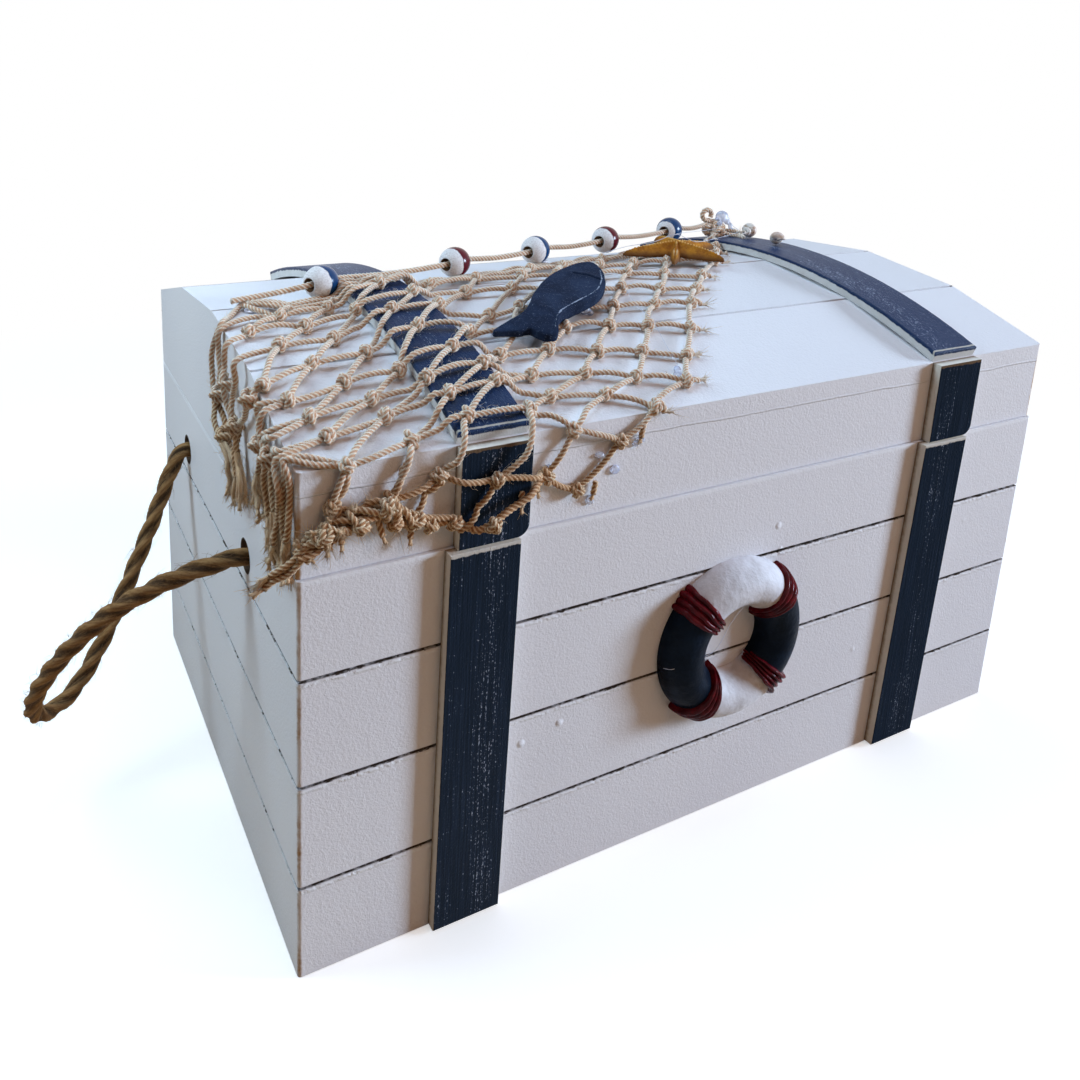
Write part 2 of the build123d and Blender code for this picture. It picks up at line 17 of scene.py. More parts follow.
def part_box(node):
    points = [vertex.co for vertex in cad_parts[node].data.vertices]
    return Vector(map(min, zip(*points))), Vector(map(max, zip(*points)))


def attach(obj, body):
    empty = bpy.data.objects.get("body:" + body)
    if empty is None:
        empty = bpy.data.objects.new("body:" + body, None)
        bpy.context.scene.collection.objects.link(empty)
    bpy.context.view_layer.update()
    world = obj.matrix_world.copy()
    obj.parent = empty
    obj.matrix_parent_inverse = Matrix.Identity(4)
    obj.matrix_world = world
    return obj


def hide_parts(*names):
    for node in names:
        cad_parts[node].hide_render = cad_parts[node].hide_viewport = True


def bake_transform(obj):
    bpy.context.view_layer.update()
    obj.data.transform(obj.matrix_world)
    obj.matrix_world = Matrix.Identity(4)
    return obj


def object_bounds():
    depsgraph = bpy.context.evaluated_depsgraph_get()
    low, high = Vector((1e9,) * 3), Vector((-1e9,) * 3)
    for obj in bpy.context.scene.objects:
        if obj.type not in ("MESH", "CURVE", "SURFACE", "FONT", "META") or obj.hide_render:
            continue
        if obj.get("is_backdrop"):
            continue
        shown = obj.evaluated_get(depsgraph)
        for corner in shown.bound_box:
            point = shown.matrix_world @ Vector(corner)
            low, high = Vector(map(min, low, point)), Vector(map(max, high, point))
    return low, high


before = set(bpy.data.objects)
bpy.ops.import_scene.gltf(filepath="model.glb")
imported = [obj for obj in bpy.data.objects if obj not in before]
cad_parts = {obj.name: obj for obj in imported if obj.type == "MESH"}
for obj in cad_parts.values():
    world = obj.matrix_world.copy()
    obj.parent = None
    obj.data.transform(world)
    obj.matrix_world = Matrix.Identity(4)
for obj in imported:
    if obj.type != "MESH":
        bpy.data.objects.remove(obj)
cad_low, cad_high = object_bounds()
MM = 0.001
CIRCLE = 2 * math.pi
chance = np.random.default_rng(7)

# %% [markdown]
# ## Reading the sizes that the dressing needs
#
# A dressing that sits on a lid has to know the lid. Typing the numbers again would work until somebody
# changes the lid, so they are read from the model's own boxes: the front, the seam, the arris and the
# crown. The arch is a circle through the two arrises and the crown, and the four flat slats are chords of it.

# %% Where the box and the lid are
BOX_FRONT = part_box("base_front")[0].y
end_low, end_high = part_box("lid_left_end")
rim_low, rim_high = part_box("rim_strap_left")
crown_low, crown_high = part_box("crown_strap_left")
LEFT, RIGHT = end_low.x, -end_low.x
LID_FRONT, LID_BACK = end_low.y, end_high.y
SEAM, ARRIS, CROWN = end_low.z, rim_high.z, end_high.z
LID_MIDDLE, HALF_SPAN = (LID_FRONT + LID_BACK) / 2, (LID_BACK - LID_FRONT) / 2
ARCH_RADIUS = (HALF_SPAN ** 2 + (CROWN - ARRIS) ** 2) / (2 * (CROWN - ARRIS))
OUTER_SLAT = 44 * MM
STRAP_PROUD = crown_high.z - CROWN
print("lid from %.1f to %.1f mm high, arch radius %.0f mm" % (SEAM / MM, CROWN / MM, ARCH_RADIUS / MM))


def arch_height(y):
    """Height of the arch through the slats' ridges."""
    return CROWN - ARCH_RADIUS + math.sqrt(ARCH_RADIUS ** 2 - (y - LID_MIDDLE) ** 2)


ridge_ys = (LID_FRONT, LID_FRONT + OUTER_SLAT, LID_MIDDLE, LID_BACK - OUTER_SLAT, LID_BACK)
ridges = [Vector((0, y, arch_height(y))) for y in ridge_ys]

# %% [markdown]
# ## Making and placing a piece
#
# Most pieces are made the same way: points and faces become a smooth mesh, the mesh becomes an object in
# the scene, and it gets one material. A piece that stands for a construction node hides that node and rides
# on that node's body. Some finishes need to know more than a place, such as how deep a point lies between
# two strands. So a mesh can keep a mark, a number or a vector, with each of its points.

# %% The piece kit


def linked(name, data):
    thing = bpy.data.objects.new(name, data)
    bpy.context.scene.collection.objects.link(thing)
    return thing


def painted(piece, material):
    """Gives a piece or a construction node one material."""
    piece.data.materials.clear()
    piece.data.materials.append(material)
    return piece


def keep_marks(mesh, marks):
    for name, values in marks.items():
        values = np.asarray(values, np.float32)
        kind, key = ("FLOAT", "value") if values.ndim == 1 else ("FLOAT_VECTOR", "vector")
        mesh.attributes.new(name, kind, "POINT").data.foreach_set(key, values.ravel())


def smooth_piece(name, points, faces, material, **marks):
    mesh = bpy.data.meshes.new(name)
    mesh.from_pydata([tuple(point) for point in points], [], faces)
    keep_marks(mesh, marks)
    mesh.shade_smooth()
    return painted(linked(name, mesh), material)


def stands_for(piece, node, body):
    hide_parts(node)
    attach(piece, body)


def net_of_faces(rows, around, wrap=True, loop=False):
    """Faces between rows of points. Wrap closes each row, and loop joins the last row to the first."""
    faces = []
    for row in range(rows if loop else rows - 1):
        here, after = row * around, (row + 1) % rows * around
        for step in range(around if wrap else around - 1):
            beside = (step + 1) % around
            faces.append((here + step, here + beside, after + beside, after + step))
    return faces


def joined(forms):
    """Several forms' points and faces as one form's."""
    points, faces = [], []
    for more_points, more_faces in forms:
        shift = len(points)
        points += more_points
        faces += [tuple(index + shift for index in face) for face in more_faces]
    return points, faces


def in_metres(rows):
    return [tuple(number * MM for number in row) for row in rows]


# %% [markdown]
# ## The camera
#
# A camera is a place, a direction, a lens and, for a picture that was cropped off-centre, a shift. The
# chest is seen from above its front left corner. A tall object that is seen from above narrows downward;
# a shift keeps the camera's tilt small while the frame looks further down, as an architect's lens does.

# %% Camera
CAMERA_PLACE = Vector((-0.2196, -0.3226, 0.2727))
CAMERA_AIM = Vector((0.2080, 0.4159, 0.0600))
CAMERA_ROLL = math.radians(3.13)
LENS_MM = 33.86
SHIFT = (0.0111, -0.25)
camera_data = bpy.data.cameras.new("camera")
camera_data.lens = LENS_MM
camera_data.shift_x, camera_data.shift_y = SHIFT
camera_data.clip_start = 0.01
camera = linked("camera", camera_data)
turn = (CAMERA_AIM - CAMERA_PLACE).to_track_quat("-Z", "Y").to_matrix()
camera.matrix_world = Matrix.Translation(CAMERA_PLACE) @ (turn @ Matrix.Rotation(CAMERA_ROLL, 3, "Z")).to_4x4()
bpy.context.scene.camera = camera
print("camera %.0f mm from the chest's middle" % (CAMERA_PLACE.length / MM))

# %% [markdown]
# ## Light
#
# White paint shows its bumps only when the light comes mostly from one side. So the main lamp stands low and
# far to the right, like a window, and rakes along the front boards. A second one straight above makes the lid
# the brightest face, and a small one close to the left end lights that wall. A weak warm lamp stands for the
# room. The last one stands behind the chest and keeps its back from going black. It is left out of the
# reflections, because it would glare on the straps where they bend away over the lid.

# %% Lamps
LAMP_AIM = (0.0, 0.0, 0.10)
lamps = (
    ("window_lamp", (2.60, -1.30, 0.74), LAMP_AIM, 0.78, 110.0, (0.62, 0.79, 1.0)),
    ("sky_lamp", (0.00, 0.16, 1.45), LAMP_AIM, 0.8, 9.2, (0.54, 0.74, 0.98)),
    ("side_lamp", (-0.44, 0.10, 0.46), (-0.15, 0.0, 0.12), 0.22, 1.7, (0.62, 0.83, 1.0)),
    ("room_lamp", (0.35, -1.10, 1.10), LAMP_AIM, 0.8, 3.3, (1.0, 0.55, 0.30)),
    ("back_lamp", (0.20, 1.60, 0.16), LAMP_AIM, 0.8, 3.6, (0.80, 0.90, 1.0)),
)
for name, place, aim, width, power, colour in lamps:
    light = bpy.data.lights.new(name, "AREA")
    light.size, light.energy, light.color = width, power, colour
    lamp = linked(name, light)
    lamp.location = place
    lamp.rotation_euler = (Vector(aim) - Vector(place)).to_track_quat("-Z", "Y").to_euler()
    lamp.visible_glossy = name != "back_lamp"
bpy.context.scene.view_settings.view_transform = "Standard"
print(len(lamps), "lamps")

# %% [markdown]
# ## A small kit for finishes
#
# Every finish below is a few patterns stacked on one shader. Long chains of sum nodes are hard to read, so
# what a node gives is wrapped in a small class, and plain sums on it add the nodes. Patterns follow the
# object's own coordinates, so the paint moves with the lid when it opens. A pattern that followed the room
# would slide over the boards.

# %% What a node gives


class Flow:
    """What a node gives at each point. A sum on it adds the node that works it out."""

    def __init__(self, kit, socket):
        self.kit, self.socket = kit, socket

    def __add__(self, other):
        return self.kit.sum("ADD", self, other)

    def __mul__(self, other):
        return self.kit.sum("MULTIPLY", self, other)

    def __sub__(self, other):
        return self.kit.sum("SUBTRACT", self, other)

    def __rsub__(self, other):
        return self.kit.sum("SUBTRACT", other, self)

    def __abs__(self):
        return self.kit.sum("ABSOLUTE", self)

    def at_least(self, other):
        return self.kit.sum("MAXIMUM", self, other)

    def at_most(self, other):
        return self.kit.sum("MINIMUM", self, other)

    def ease(self, low, high, start=0.0, end=1.0):
        """A soft step, from start where the value is low to end where it is high."""
        return self.kit.node("MapRange", (self, low, high, start, end), interpolation_type="SMOOTHSTEP")


# %% The finish kit


class Kit:
    """The node calls that the finishes and the world share."""

    def __init__(self, tree):
        self.tree = tree

    def node(self, kind, inputs=(), output=0, **settings):
        """Adds a node, feeds its inputs in order or by name, and gives one of its outputs."""
        node = self.tree.nodes.new("ShaderNode" + kind)
        for key, value in settings.items():
            setattr(node, key, value)
        for key, value in inputs.items() if isinstance(inputs, dict) else enumerate(inputs):
            self.feed(node.inputs[key], value)
        return Flow(self, node.outputs[output])

    def feed(self, socket, value):
        value = getattr(value, "socket", value)
        if isinstance(value, bpy.types.NodeSocket):
            self.tree.links.new(value, socket)
        else:
            socket.default_value = (*value, 1) if socket.type == "RGBA" else value

    def sum(self, operation, *values):
        return self.node("Math", values, operation=operation)

    def length(self, first, second):
        return self.sum("SQRT", first * first + second * second)

    def axes(self, vector):
        split = self.node("SeparateXYZ", (vector,)).socket.node
        return [Flow(self, output) for output in split.outputs]

    def stretched(self, scale, turn=(0, 0, 0), at=None):
        return self.node("Mapping", {"Vector": at or self.place, "Scale": scale, "Rotation": turn})

    def noise(self, scale, detail=3, rough=0.5, at=None):
        inputs = {"Vector": at or self.place, "Scale": scale, "Detail": detail, "Roughness": rough}
        return self.node("TexNoise", inputs, "Fac")

    def cells(self, scale):
        return self.node("TexVoronoi", {"Vector": self.place, "Scale": scale}, "Distance")

    def blend(self, amount, first, second):
        return self.node("Mix", {0: amount, 6: first, 7: second}, 2, data_type="RGBA")

    def mark(self, name, output="Fac"):
        return self.node("Attribute", (), output, attribute_name=name)

    def clear_rays(self):
        """1 for what the camera, gloss and glass see, 0 for the light that reaches the chest."""
        seen = self.node("LightPath").socket.node.outputs
        through = self.sum("MAXIMUM", seen["Is Glossy Ray"], seen["Is Transmission Ray"])
        return through.at_least(seen["Is Camera Ray"])


class Finish(Kit):
    """One material: a plain shader that its patterns then feed."""

    def __init__(self, name, rough=0.5, colour=(0.8, 0.8, 0.8), shine=0.5):
        self.material = bpy.data.materials.new(name)
        self.material.use_nodes = True
        super().__init__(self.material.node_tree)
        self.skin = self.tree.nodes["Principled BSDF"]
        for socket, value in (("Roughness", rough), ("Specular IOR Level", shine), ("Base Color", colour)):
            self.set(socket, value)
        here = self.node("TexCoord").socket.node.outputs
        self.place, self.facing = Flow(self, here["Object"]), Flow(self, here["Normal"])

    def set(self, socket, value):
        self.feed(self.skin.inputs[socket], value)

    def colour(self, value):
        self.set("Base Color", value)

    def rough(self, value):
        self.set("Roughness", value)

    def bump(self, height, distance, strength=1.0):
        self.set("Normal", self.node("Bump", {"Strength": strength, "Distance": distance, "Height": height}))


# %% [markdown]
# ## World and floor
#
# The floor throws warm light upwards into the shadows, as a wooden floor does. Camera rays see it white, so
# that the chest stands on a clean ground, but it still takes the chest's shadow. The world is done the same
# way: a weak warm glow for the chest, and white for whatever looks at it.

# %% World and floor
WORLD_COLOUR, WORLD_LIGHT = (1.0, 0.86, 0.74), 0.03
FLOOR_COLOUR, FLOOR_BOUNCE = (0.84, 0.85, 0.86), (0.46, 0.30, 0.17)
FLOOR_GLOW = 0.50
FLOOR_NEAR, FLOOR_FAR = 0.34, 0.60
FLOOR_HALF = 3.0
world = bpy.data.worlds.new("world")
world.use_nodes = True
bpy.context.scene.world = world
sky = Kit(world.node_tree)
dim, white = sky.node("Background", (WORLD_COLOUR, WORLD_LIGHT)), sky.node("Background", ((1.0, 1.0, 1.0), 1.0))
shown = sky.node("MixShader", (sky.clear_rays(), dim, white))
sky.feed(sky.tree.nodes["World Output"].inputs["Surface"], shown)


def floor_finish():
    """White to camera, gloss and glass, and darker only where the chest shades it."""
    f = Finish("pale_floor", rough=0.9, colour=FLOOR_COLOUR, shine=0.0)
    lit = f.node("AddShader", (f.skin.outputs[0], f.node("Emission", {"Strength": FLOOR_GLOW})))
    away = f.node("VectorMath", (f.place,), "Value", operation="LENGTH")
    seen = f.node("MixShader", (away.ease(FLOOR_NEAR, FLOOR_FAR), lit, f.node("Emission")))
    bounce = f.node("BsdfDiffuse", (FLOOR_BOUNCE,))
    shown = f.node("MixShader", (f.clear_rays(), bounce, seen))
    f.feed(f.tree.nodes["Material Output"].inputs["Surface"], shown)
    return f.material


corners = [(x * FLOOR_HALF, y * FLOOR_HALF, 0) for x, y in ((-1, -1), (1, -1), (1, 1), (-1, 1))]
floor = smooth_piece("floor", corners, [(0, 1, 2, 3)], floor_finish())
floor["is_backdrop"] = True
print("floor %.0f m wide" % (2 * FLOOR_HALF))

# %% [markdown]
# ## White paint over boards
#
# The boards are fibre board under two thick coats of matt white. A short-pile roller leaves a fine orange
# peel, a few larger drips set hard, and the saw left the grooves bare: dark brown and rough, with paint
# bridging them here and there. Handling has rubbed the upright corners through to the board. All of that
# is worked out from where a point lies, so one finish serves every board.

# %% White paint
WHITE, WHITE_DULL = (0.815, 0.800, 0.825), (0.786475, 0.772, 0.804375)
# the lip and top-edge whites on the next line are painted highlights: lighter white where a raised lip or the box's top
# edge catches the light
LIP_HIGHLIGHT, TOP_EDGE_HIGHLIGHT = (0.90, 0.90, 0.93), (0.95, 0.96, 1.0)
WORN_BROWN = (0.40, 0.215, 0.085)
GROOVE_DARK, CRACK_DARK = (0.050, 0.034, 0.025), (0.085, 0.070, 0.062)
BARE_BOARD = (0.105, 0.062, 0.036)
RIM_JOINT = ARRIS - 6.5 * MM
HOLE_SPREAD, HOLE_HEIGHT, HOLE_SHIFT, HOLE_RADIUS = 85 * MM, 107.6 * MM, 3.5 * MM, 5.5 * MM
GROOVE_LEVELS = [31.2 * MM + 33.4 * MM * number for number in range(3)]
GROOVE_HALF = 0.55 * MM
print("grooves at", [round(level / MM, 1) for level in GROOVE_LEVELS], "mm")

# %% Paint relief, seams and grooves


def paint_relief(f):
    """Orange peel, fine grain and a few hardened drips, as one height."""
    peel = f.noise(460, 2) * 0.5 + f.noise(1080, 2, 0.6)
    drips = f.cells(75).ease(0.13, 0.02) * f.noise(16, 1).ease(0.60, 0.66)
    return peel + f.noise(2500, 1) * 0.25 + drips * 2.6


def nearest(value, levels, half):
    """1 at any of the levels, falling to 0 at half away."""
    total = 0.0
    for level in levels:
        total = abs(value - level).ease(half, 0.0).at_least(total)
    return total


def lid_seams(f, colour, ragged, y, z):
    """The filled joint above the rim, and the hair cracks along the slats' ridges."""
    joint = abs(z + f.noise(55) * (1.6 * MM) - 0.8 * MM - RIM_JOINT)
    lift = joint.ease(0.55 * MM, 0.15 * MM) * y.ease(LID_FRONT + 0.6 * MM, LID_FRONT + 0.2 * MM) * 1.6
    cracks = nearest(y + ragged * (0.5 * MM), [ridge + 0.25 * MM for ridge in ridge_ys[1:4]], 0.62 * MM)
    slanted = abs(f.axes(f.facing)[2]).ease(0.2, 0.4)
    cracks = cracks.ease(0.25, 0.75) * slanted * f.noise(150, 2).ease(0.34, 0.46, 0.65, 1.0)
    return f.blend(cracks * z.ease(ARRIS, ARRIS + 4 * MM), colour, CRACK_DARK), lift


def box_grooves(f, colour, ragged, y, z, to_end, to_front):
    """Bare grooves, a paint lip under each and the box's top edge with painted highlights, and raw rope holes."""
    level = z + (ragged * (1.3 * MM) - 0.65 * MM) * 0.6
    depth = to_end.at_most(to_front)
    outside = depth.ease(4.5 * MM, 4.0 * MM)
    inner = depth.ease(0.10 * MM, 0.45 * MM).at_least(ragged.ease(0.52, 0.62))
    lines = nearest(level, GROOVE_LEVELS, GROOVE_HALF * 1.7).ease(0.10, 0.42) * outside * inner
    bridged = f.noise(120, 3, 0.6).ease(0.63, 0.70, 1.0, 0.25)
    # the raised lip under each groove is real relief in the bump; its lighter colour is a painted highlight
    lip = nearest(level + 1.35 * MM, GROOVE_LEVELS, 0.95 * MM)
    lip = lip * f.noise(420, 3, 0.7).ease(0.36, 0.58, 0.1, 1.0) * outside
    from_hole = f.length(z - HOLE_HEIGHT, abs(y - HOLE_SHIFT) - HOLE_SPREAD / 2)
    bare = (from_hole + ragged * (0.5 * MM)).ease(HOLE_RADIUS + 0.55 * MM, HOLE_RADIUS + 0.30 * MM)
    # painted highlight: the box's top edge, just below the lid, is painted lighter where it catches the light
    top_edge_highlight = (z + ragged * (1.2 * MM)).ease(SEAM - 1.6 * MM, SEAM - 0.4 * MM)
    colour = f.blend(top_edge_highlight * 0.5, f.blend(lip * 0.75, colour, LIP_HIGHLIGHT), TOP_EDGE_HIGHLIGHT)
    colour = f.blend(lines * bridged, colour, GROOVE_DARK)
    return f.blend(bare * to_end.ease(40 * MM, 39 * MM), colour, BARE_BOARD), lip * 1.5


# %% Board paint


def board_paint(name, half_depth, middle, grooved):
    """White paint whose upright corners are rubbed through."""
    f = Finish(name, rough=0.62, shine=0.3)
    x, y, z = f.axes(f.place)
    ragged, broad = f.noise(240, 4, 0.7), f.noise(9, 2)
    colour = f.blend(broad.ease(0.35, 0.75), WHITE, WHITE_DULL)
    to_end, to_front = RIGHT - abs(x), half_depth - abs(y - middle)
    worn = (to_end + to_front + ragged * (1.5 * MM)).ease(1.95 * MM, 1.15 * MM)
    colour = f.blend(worn * f.noise(34, 2).ease(0.36, 0.54), colour, WORN_BROWN)
    if grooved:
        colour, lift = box_grooves(f, colour, ragged, y, z, to_end, to_front)
    else:
        colour, lift = lid_seams(f, colour, ragged, y, z)
    f.colour(colour)
    f.rough(broad.ease(0.3, 0.8, 0.55, 0.68))
    f.bump(paint_relief(f) + lift, 0.165 * MM)
    return f.material


def finish_nodes(start, material, leave_out="nothing"):
    """Paints the construction nodes whose names start in one way, and says how many."""
    nodes = [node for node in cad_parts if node.startswith(start) and leave_out not in node]
    for node in nodes:
        painted(bpy.data.objects[node], material)
    print(material.name, "on", len(nodes), "nodes")


finish_nodes("base_", board_paint("white_paint_box", -BOX_FRONT, 0.0, True), leave_out="strap")
finish_nodes("lid_", board_paint("white_paint_lid", HALF_SPAN, LID_MIDDLE, False))

# %% [markdown]
# ## Dark straps, brushed nearly dry
#
# The straps are thin board bent over the lid and glued to the front. They had a coat of navy over a pale
# ground, laid on with a nearly dry brush along the strap, so that pale streaks run with its length and the
# edges stay cream. A noise that is stretched hard along one direction gives the streaks. Each strap knows
# its long direction, and its sides are told from its face by which way they look.

# %% Brush marks
NAVY, NAVY_WORN, STREAK = (0.0042, 0.0100, 0.0200), (0.0100, 0.0190, 0.0370), (0.40, 0.44, 0.53)
# the three crown colours on the next line are the straps' navy paint made bluer and lighter: a painted reflection of
# the sky light on the crown
CROWN_NAVY_AND_SHEEN, CROWN_WORN_AND_SHEEN, CROWN_STREAK_AND_SHEEN = (0.0075, 0.0235, 0.0780), (0.0200, 0.0420, 0.1000), (0.44, 0.52, 0.68)
CREAM, SIDE_SHADE = (0.80, 0.76, 0.68), (0.30, 0.225, 0.165)
CROWN_SIDE, CROWN_SIDE_DULL, CROWN_END = (0.74, 0.73, 0.72), (0.60, 0.57, 0.52), (0.21, 0.175, 0.15)
CROWN_LIP = (0.50, 0.47, 0.42)
BASE_EDGE, RAW_EDGE = (0.62, 0.58, 0.52), (0.135, 0.085, 0.050)
STRAP_HALF = (rim_high.x - rim_low.x) / 2
STRAP_PLACE = abs(rim_high.x + rim_low.x) / 2
print("straps %.0f mm wide, %.0f mm from the middle" % (2 * STRAP_HALF / MM, STRAP_PLACE / MM))


def dry_brush(f, long_axis, amount):
    """Marks of a nearly dry brush: specks and hair lines that line up along the strap, thick in its middle."""
    narrow, dots = [1900] * 3, [2100] * 3
    narrow[long_axis], dots[long_axis] = 34, 1100
    across = abs(f.axes(f.place)[0]) - STRAP_PLACE
    middle = abs(f.noise(26, 2) * (9 * MM) + across - 4.5 * MM).ease(8.5 * MM, 1.0 * MM)
    rim = abs(across).ease(STRAP_HALF - 2.4 * MM, STRAP_HALF - 0.8 * MM)
    columns = f.noise(1, 2, 0.55, f.stretched(narrow))
    specks = f.noise(1, 2, 0.6, f.stretched(dots))
    total = columns * 0.55 + specks * 0.75 + f.noise(24, 2) * 0.16 + middle * 0.115 + rim * 0.05
    start = 0.975 - 0.06 * amount
    return total.ease(start, start + 0.125), columns, specks


# %% Strap paint


def upright_paint(name, face_out, top, top_edge, amount, shine):
    """Navy face with brush marks; a strap's side is cream at its edge and shaded where it meets the wall."""
    f = Finish(name, rough=0.46, shine=shine)
    y, z = f.axes(f.place)[1:]
    marks, columns, specks = dry_brush(f, 2, amount)
    navy = f.blend(columns.ease(0.40, 0.66), NAVY, NAVY_WORN)
    ragged = f.noise(500, 3, 0.6)
    from_top = top - z - ragged * (1.4 * MM)
    face = f.blend(from_top.ease(0.55 * MM, 0.15 * MM), f.blend(marks * 0.85, navy, STREAK), top_edge)
    edge = (abs(f.axes(f.facing)[1]) + ragged * 0.25).ease(0.72, 0.95)
    depth = y - face_out + ragged * (1.2 * MM)
    f.colour(f.blend(edge, f.blend(depth.ease(2.4 * MM, 4.2 * MM), CREAM, SIDE_SHADE), face))
    f.rough(specks.ease(0.3, 0.7, 0.34, 0.56))
    f.bump(specks * 1.2 + columns, 0.16 * MM)
    return f.material


def crown_paint():
    """The crown straps lie nearly flat, so their sides are the faces that look along the chest."""
    f = Finish("navy_crown_strap", rough=0.40, shine=0.10)
    y, z = f.axes(f.place)[1:]
    marks, columns, specks = dry_brush(f, 1, 1.25)
    # painted reflection: the crown's navy is bluer and lighter than the upright straps'
    navy = f.blend(columns.ease(0.35, 0.70), CROWN_NAVY_AND_SHEEN, CROWN_WORN_AND_SHEEN)
    ragged = f.noise(420, 3, 0.6)
    radius = f.length(y - LID_MIDDLE, z - (CROWN - ARCH_RADIUS))
    proud = radius - (ARCH_RADIUS + 0.6 * MM) + ragged * (1.2 * MM)
    edge = (f.axes(f.facing)[2] + ragged * 0.12).ease(0.62, 0.84)
    edge = edge.at_least(proud.ease(STRAP_PROUD - 1.3 * MM, STRAP_PROUD - 0.9 * MM))
    from_end = y - crown_low.y
    end = (from_end + ragged * (0.9 * MM)).ease(0.9 * MM, 0.35 * MM)
    sides = f.blend(end, f.blend(f.noise(160), CROWN_SIDE, CROWN_SIDE_DULL), CROWN_END)
    lip = abs(from_end - 1.3 * MM + ragged * (0.6 * MM)).ease(0.5 * MM, 0.2 * MM)
    face = f.blend(lip, f.blend(marks * 0.55, navy, CROWN_STREAK_AND_SHEEN), CROWN_LIP)
    f.colour(f.blend(edge, sides, face))
    f.bump(specks * 1.2 + columns, 0.14 * MM)
    return f.material


for side, ending, amount, shine in (("left", "", 1.0, 0.05), ("right", "_right", 0.35, 0.012)):
    for strap, top_edge in (("base_strap", BASE_EDGE), ("rim_strap", RAW_EDGE)):
        low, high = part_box(strap + "_left")
        material = upright_paint("navy_" + strap + ending, low.y, high.z, top_edge, amount, shine)
        finish_nodes(strap + "_" + side, material)
finish_nodes("crown_strap", crown_paint())

# %% [markdown]
# ## Hinges and raw board
#
# The hinges are the small pressed brass kind, and the floor is raw board inside the box. Neither shows
# while the chest faces the room, but a part is judged from every side and with its lid open.

# %% Hinges and floor board


def metal_finish(name, colour, rough):
    f = Finish(name, rough=rough, colour=colour)
    f.set("Metallic", 1.0)
    f.colour(f.blend(f.noise(240, 4, 0.6).ease(0.45, 0.70), colour, [value * 0.55 for value in colour]))
    f.rough(f.noise(500, 2).ease(0.3, 0.7, rough - 0.08, rough + 0.10))
    f.bump(f.noise(1, 2, 0.5, f.stretched((300, 300, 3000))), 0.02 * MM, 0.5)
    return f.material


def raw_board_finish():
    f = Finish("raw_board", rough=0.85)
    fibre = f.noise(1, 4, 0.6, f.stretched((700, 90, 90)))
    f.colour(f.blend(fibre, (0.36, 0.235, 0.125), (0.50, 0.36, 0.215)))
    f.bump(fibre, 0.1 * MM, 0.6)
    return f.material


finish_nodes("hinge_", metal_finish("hinge_brass", (0.80, 0.60, 0.28), 0.34), leave_out="screws")
finish_nodes("hinge_screws", metal_finish("screw_steel", (0.62, 0.60, 0.56), 0.38))
finish_nodes("base_floor", raw_board_finish())

# %% [markdown]
# ## Laid cord
#
# The handle's rope, the net and the bead cord are all laid: three strands twisted round each other. A plain
# tube with a striped picture would look right from far away, but the strands give a cord its bumpy outline
# and its dark valleys, so the strands are modelled. One function sweeps a three-lobed section along a line
# and turns it as it goes. It also keeps, for each point, how deep it lies between the strands, so that the
# finish can paint shade into the valleys, and where it lies along its yarn, so that the fibres follow the twist.

# %% Lines
STRANDS = 3
LOBE, SPREAD = 0.54, 0.46
YARN_LENGTH = 6 * MM
STEP = 0.5 * MM


def lobed_section(per_strand):
    """Angles, distances from the middle and depths of the section's points, for a cord of radius 1."""
    half = math.pi / STRANDS
    turns = (np.arange(per_strand) + 0.5) / per_strand * 2 * half - half
    reach = SPREAD * np.cos(turns) + np.sqrt(LOBE ** 2 - (SPREAD * np.sin(turns)) ** 2)
    reach = np.tile(reach / (SPREAD + LOBE), STRANDS)
    angles = np.concatenate([turns + 2 * half * strand for strand in range(STRANDS)])
    return angles, reach, (1 - reach) / (1 - reach.min())


def distances(line):
    return np.concatenate([[0], np.cumsum(np.linalg.norm(np.diff(line, axis=0), axis=1))])


def even_steps(points, step=STEP):
    """Points along a line at even distances."""
    points = np.asarray(points, float)
    along = distances(points)
    where = np.linspace(0, along[-1], max(3, int(round(along[-1] / step)) + 1))
    return np.stack([np.interp(where, along, points[:, axis]) for axis in range(3)], axis=1)


def soft_line(points, step=STEP):
    """A smooth line through points, at even steps."""
    points = np.asarray(points, float)
    if len(points) < 3:
        return even_steps(points, step)
    padded = np.vstack([2 * points[0] - points[1], points, 2 * points[-1] - points[-2]])
    share = np.linspace(0, 1, 12, endpoint=False)[:, None]
    square, cube = share ** 2, share ** 3
    pieces = []
    for before, here, after, later in zip(padded, padded[1:], padded[2:], padded[3:]):
        leave, arrive = (after - before) / 2, (later - here) / 2
        pieces.append((2 * cube - 3 * square + 1) * here + (cube - 2 * square + share) * leave
                      + (3 * square - 2 * cube) * after + (cube - square) * arrive)
    return even_steps(np.vstack(pieces + [points[-1:]]), step)


def carried_frames(line):
    """Tangent and two side directions at each point, carried along without twist."""
    tangent = np.gradient(line, axis=0)
    tangent /= np.linalg.norm(tangent, axis=1)[:, None]
    side = np.cross(tangent[0], (0.13, 0.21, 0.97))
    sides = [side / np.linalg.norm(side)]
    for direction in tangent[1:]:
        side = sides[-1] - direction * np.dot(sides[-1], direction)
        sides.append(side / np.linalg.norm(side))
    sides = np.array(sides)
    return tangent, sides, np.cross(tangent, sides)


def wound_round(side, other, angle):
    """The direction at an angle between two side directions."""
    return side * math.cos(angle) + other * math.sin(angle)


print("valleys at %.2f of a cord's radius" % lobed_section(5)[1].min())

# %% The laid-cord maker


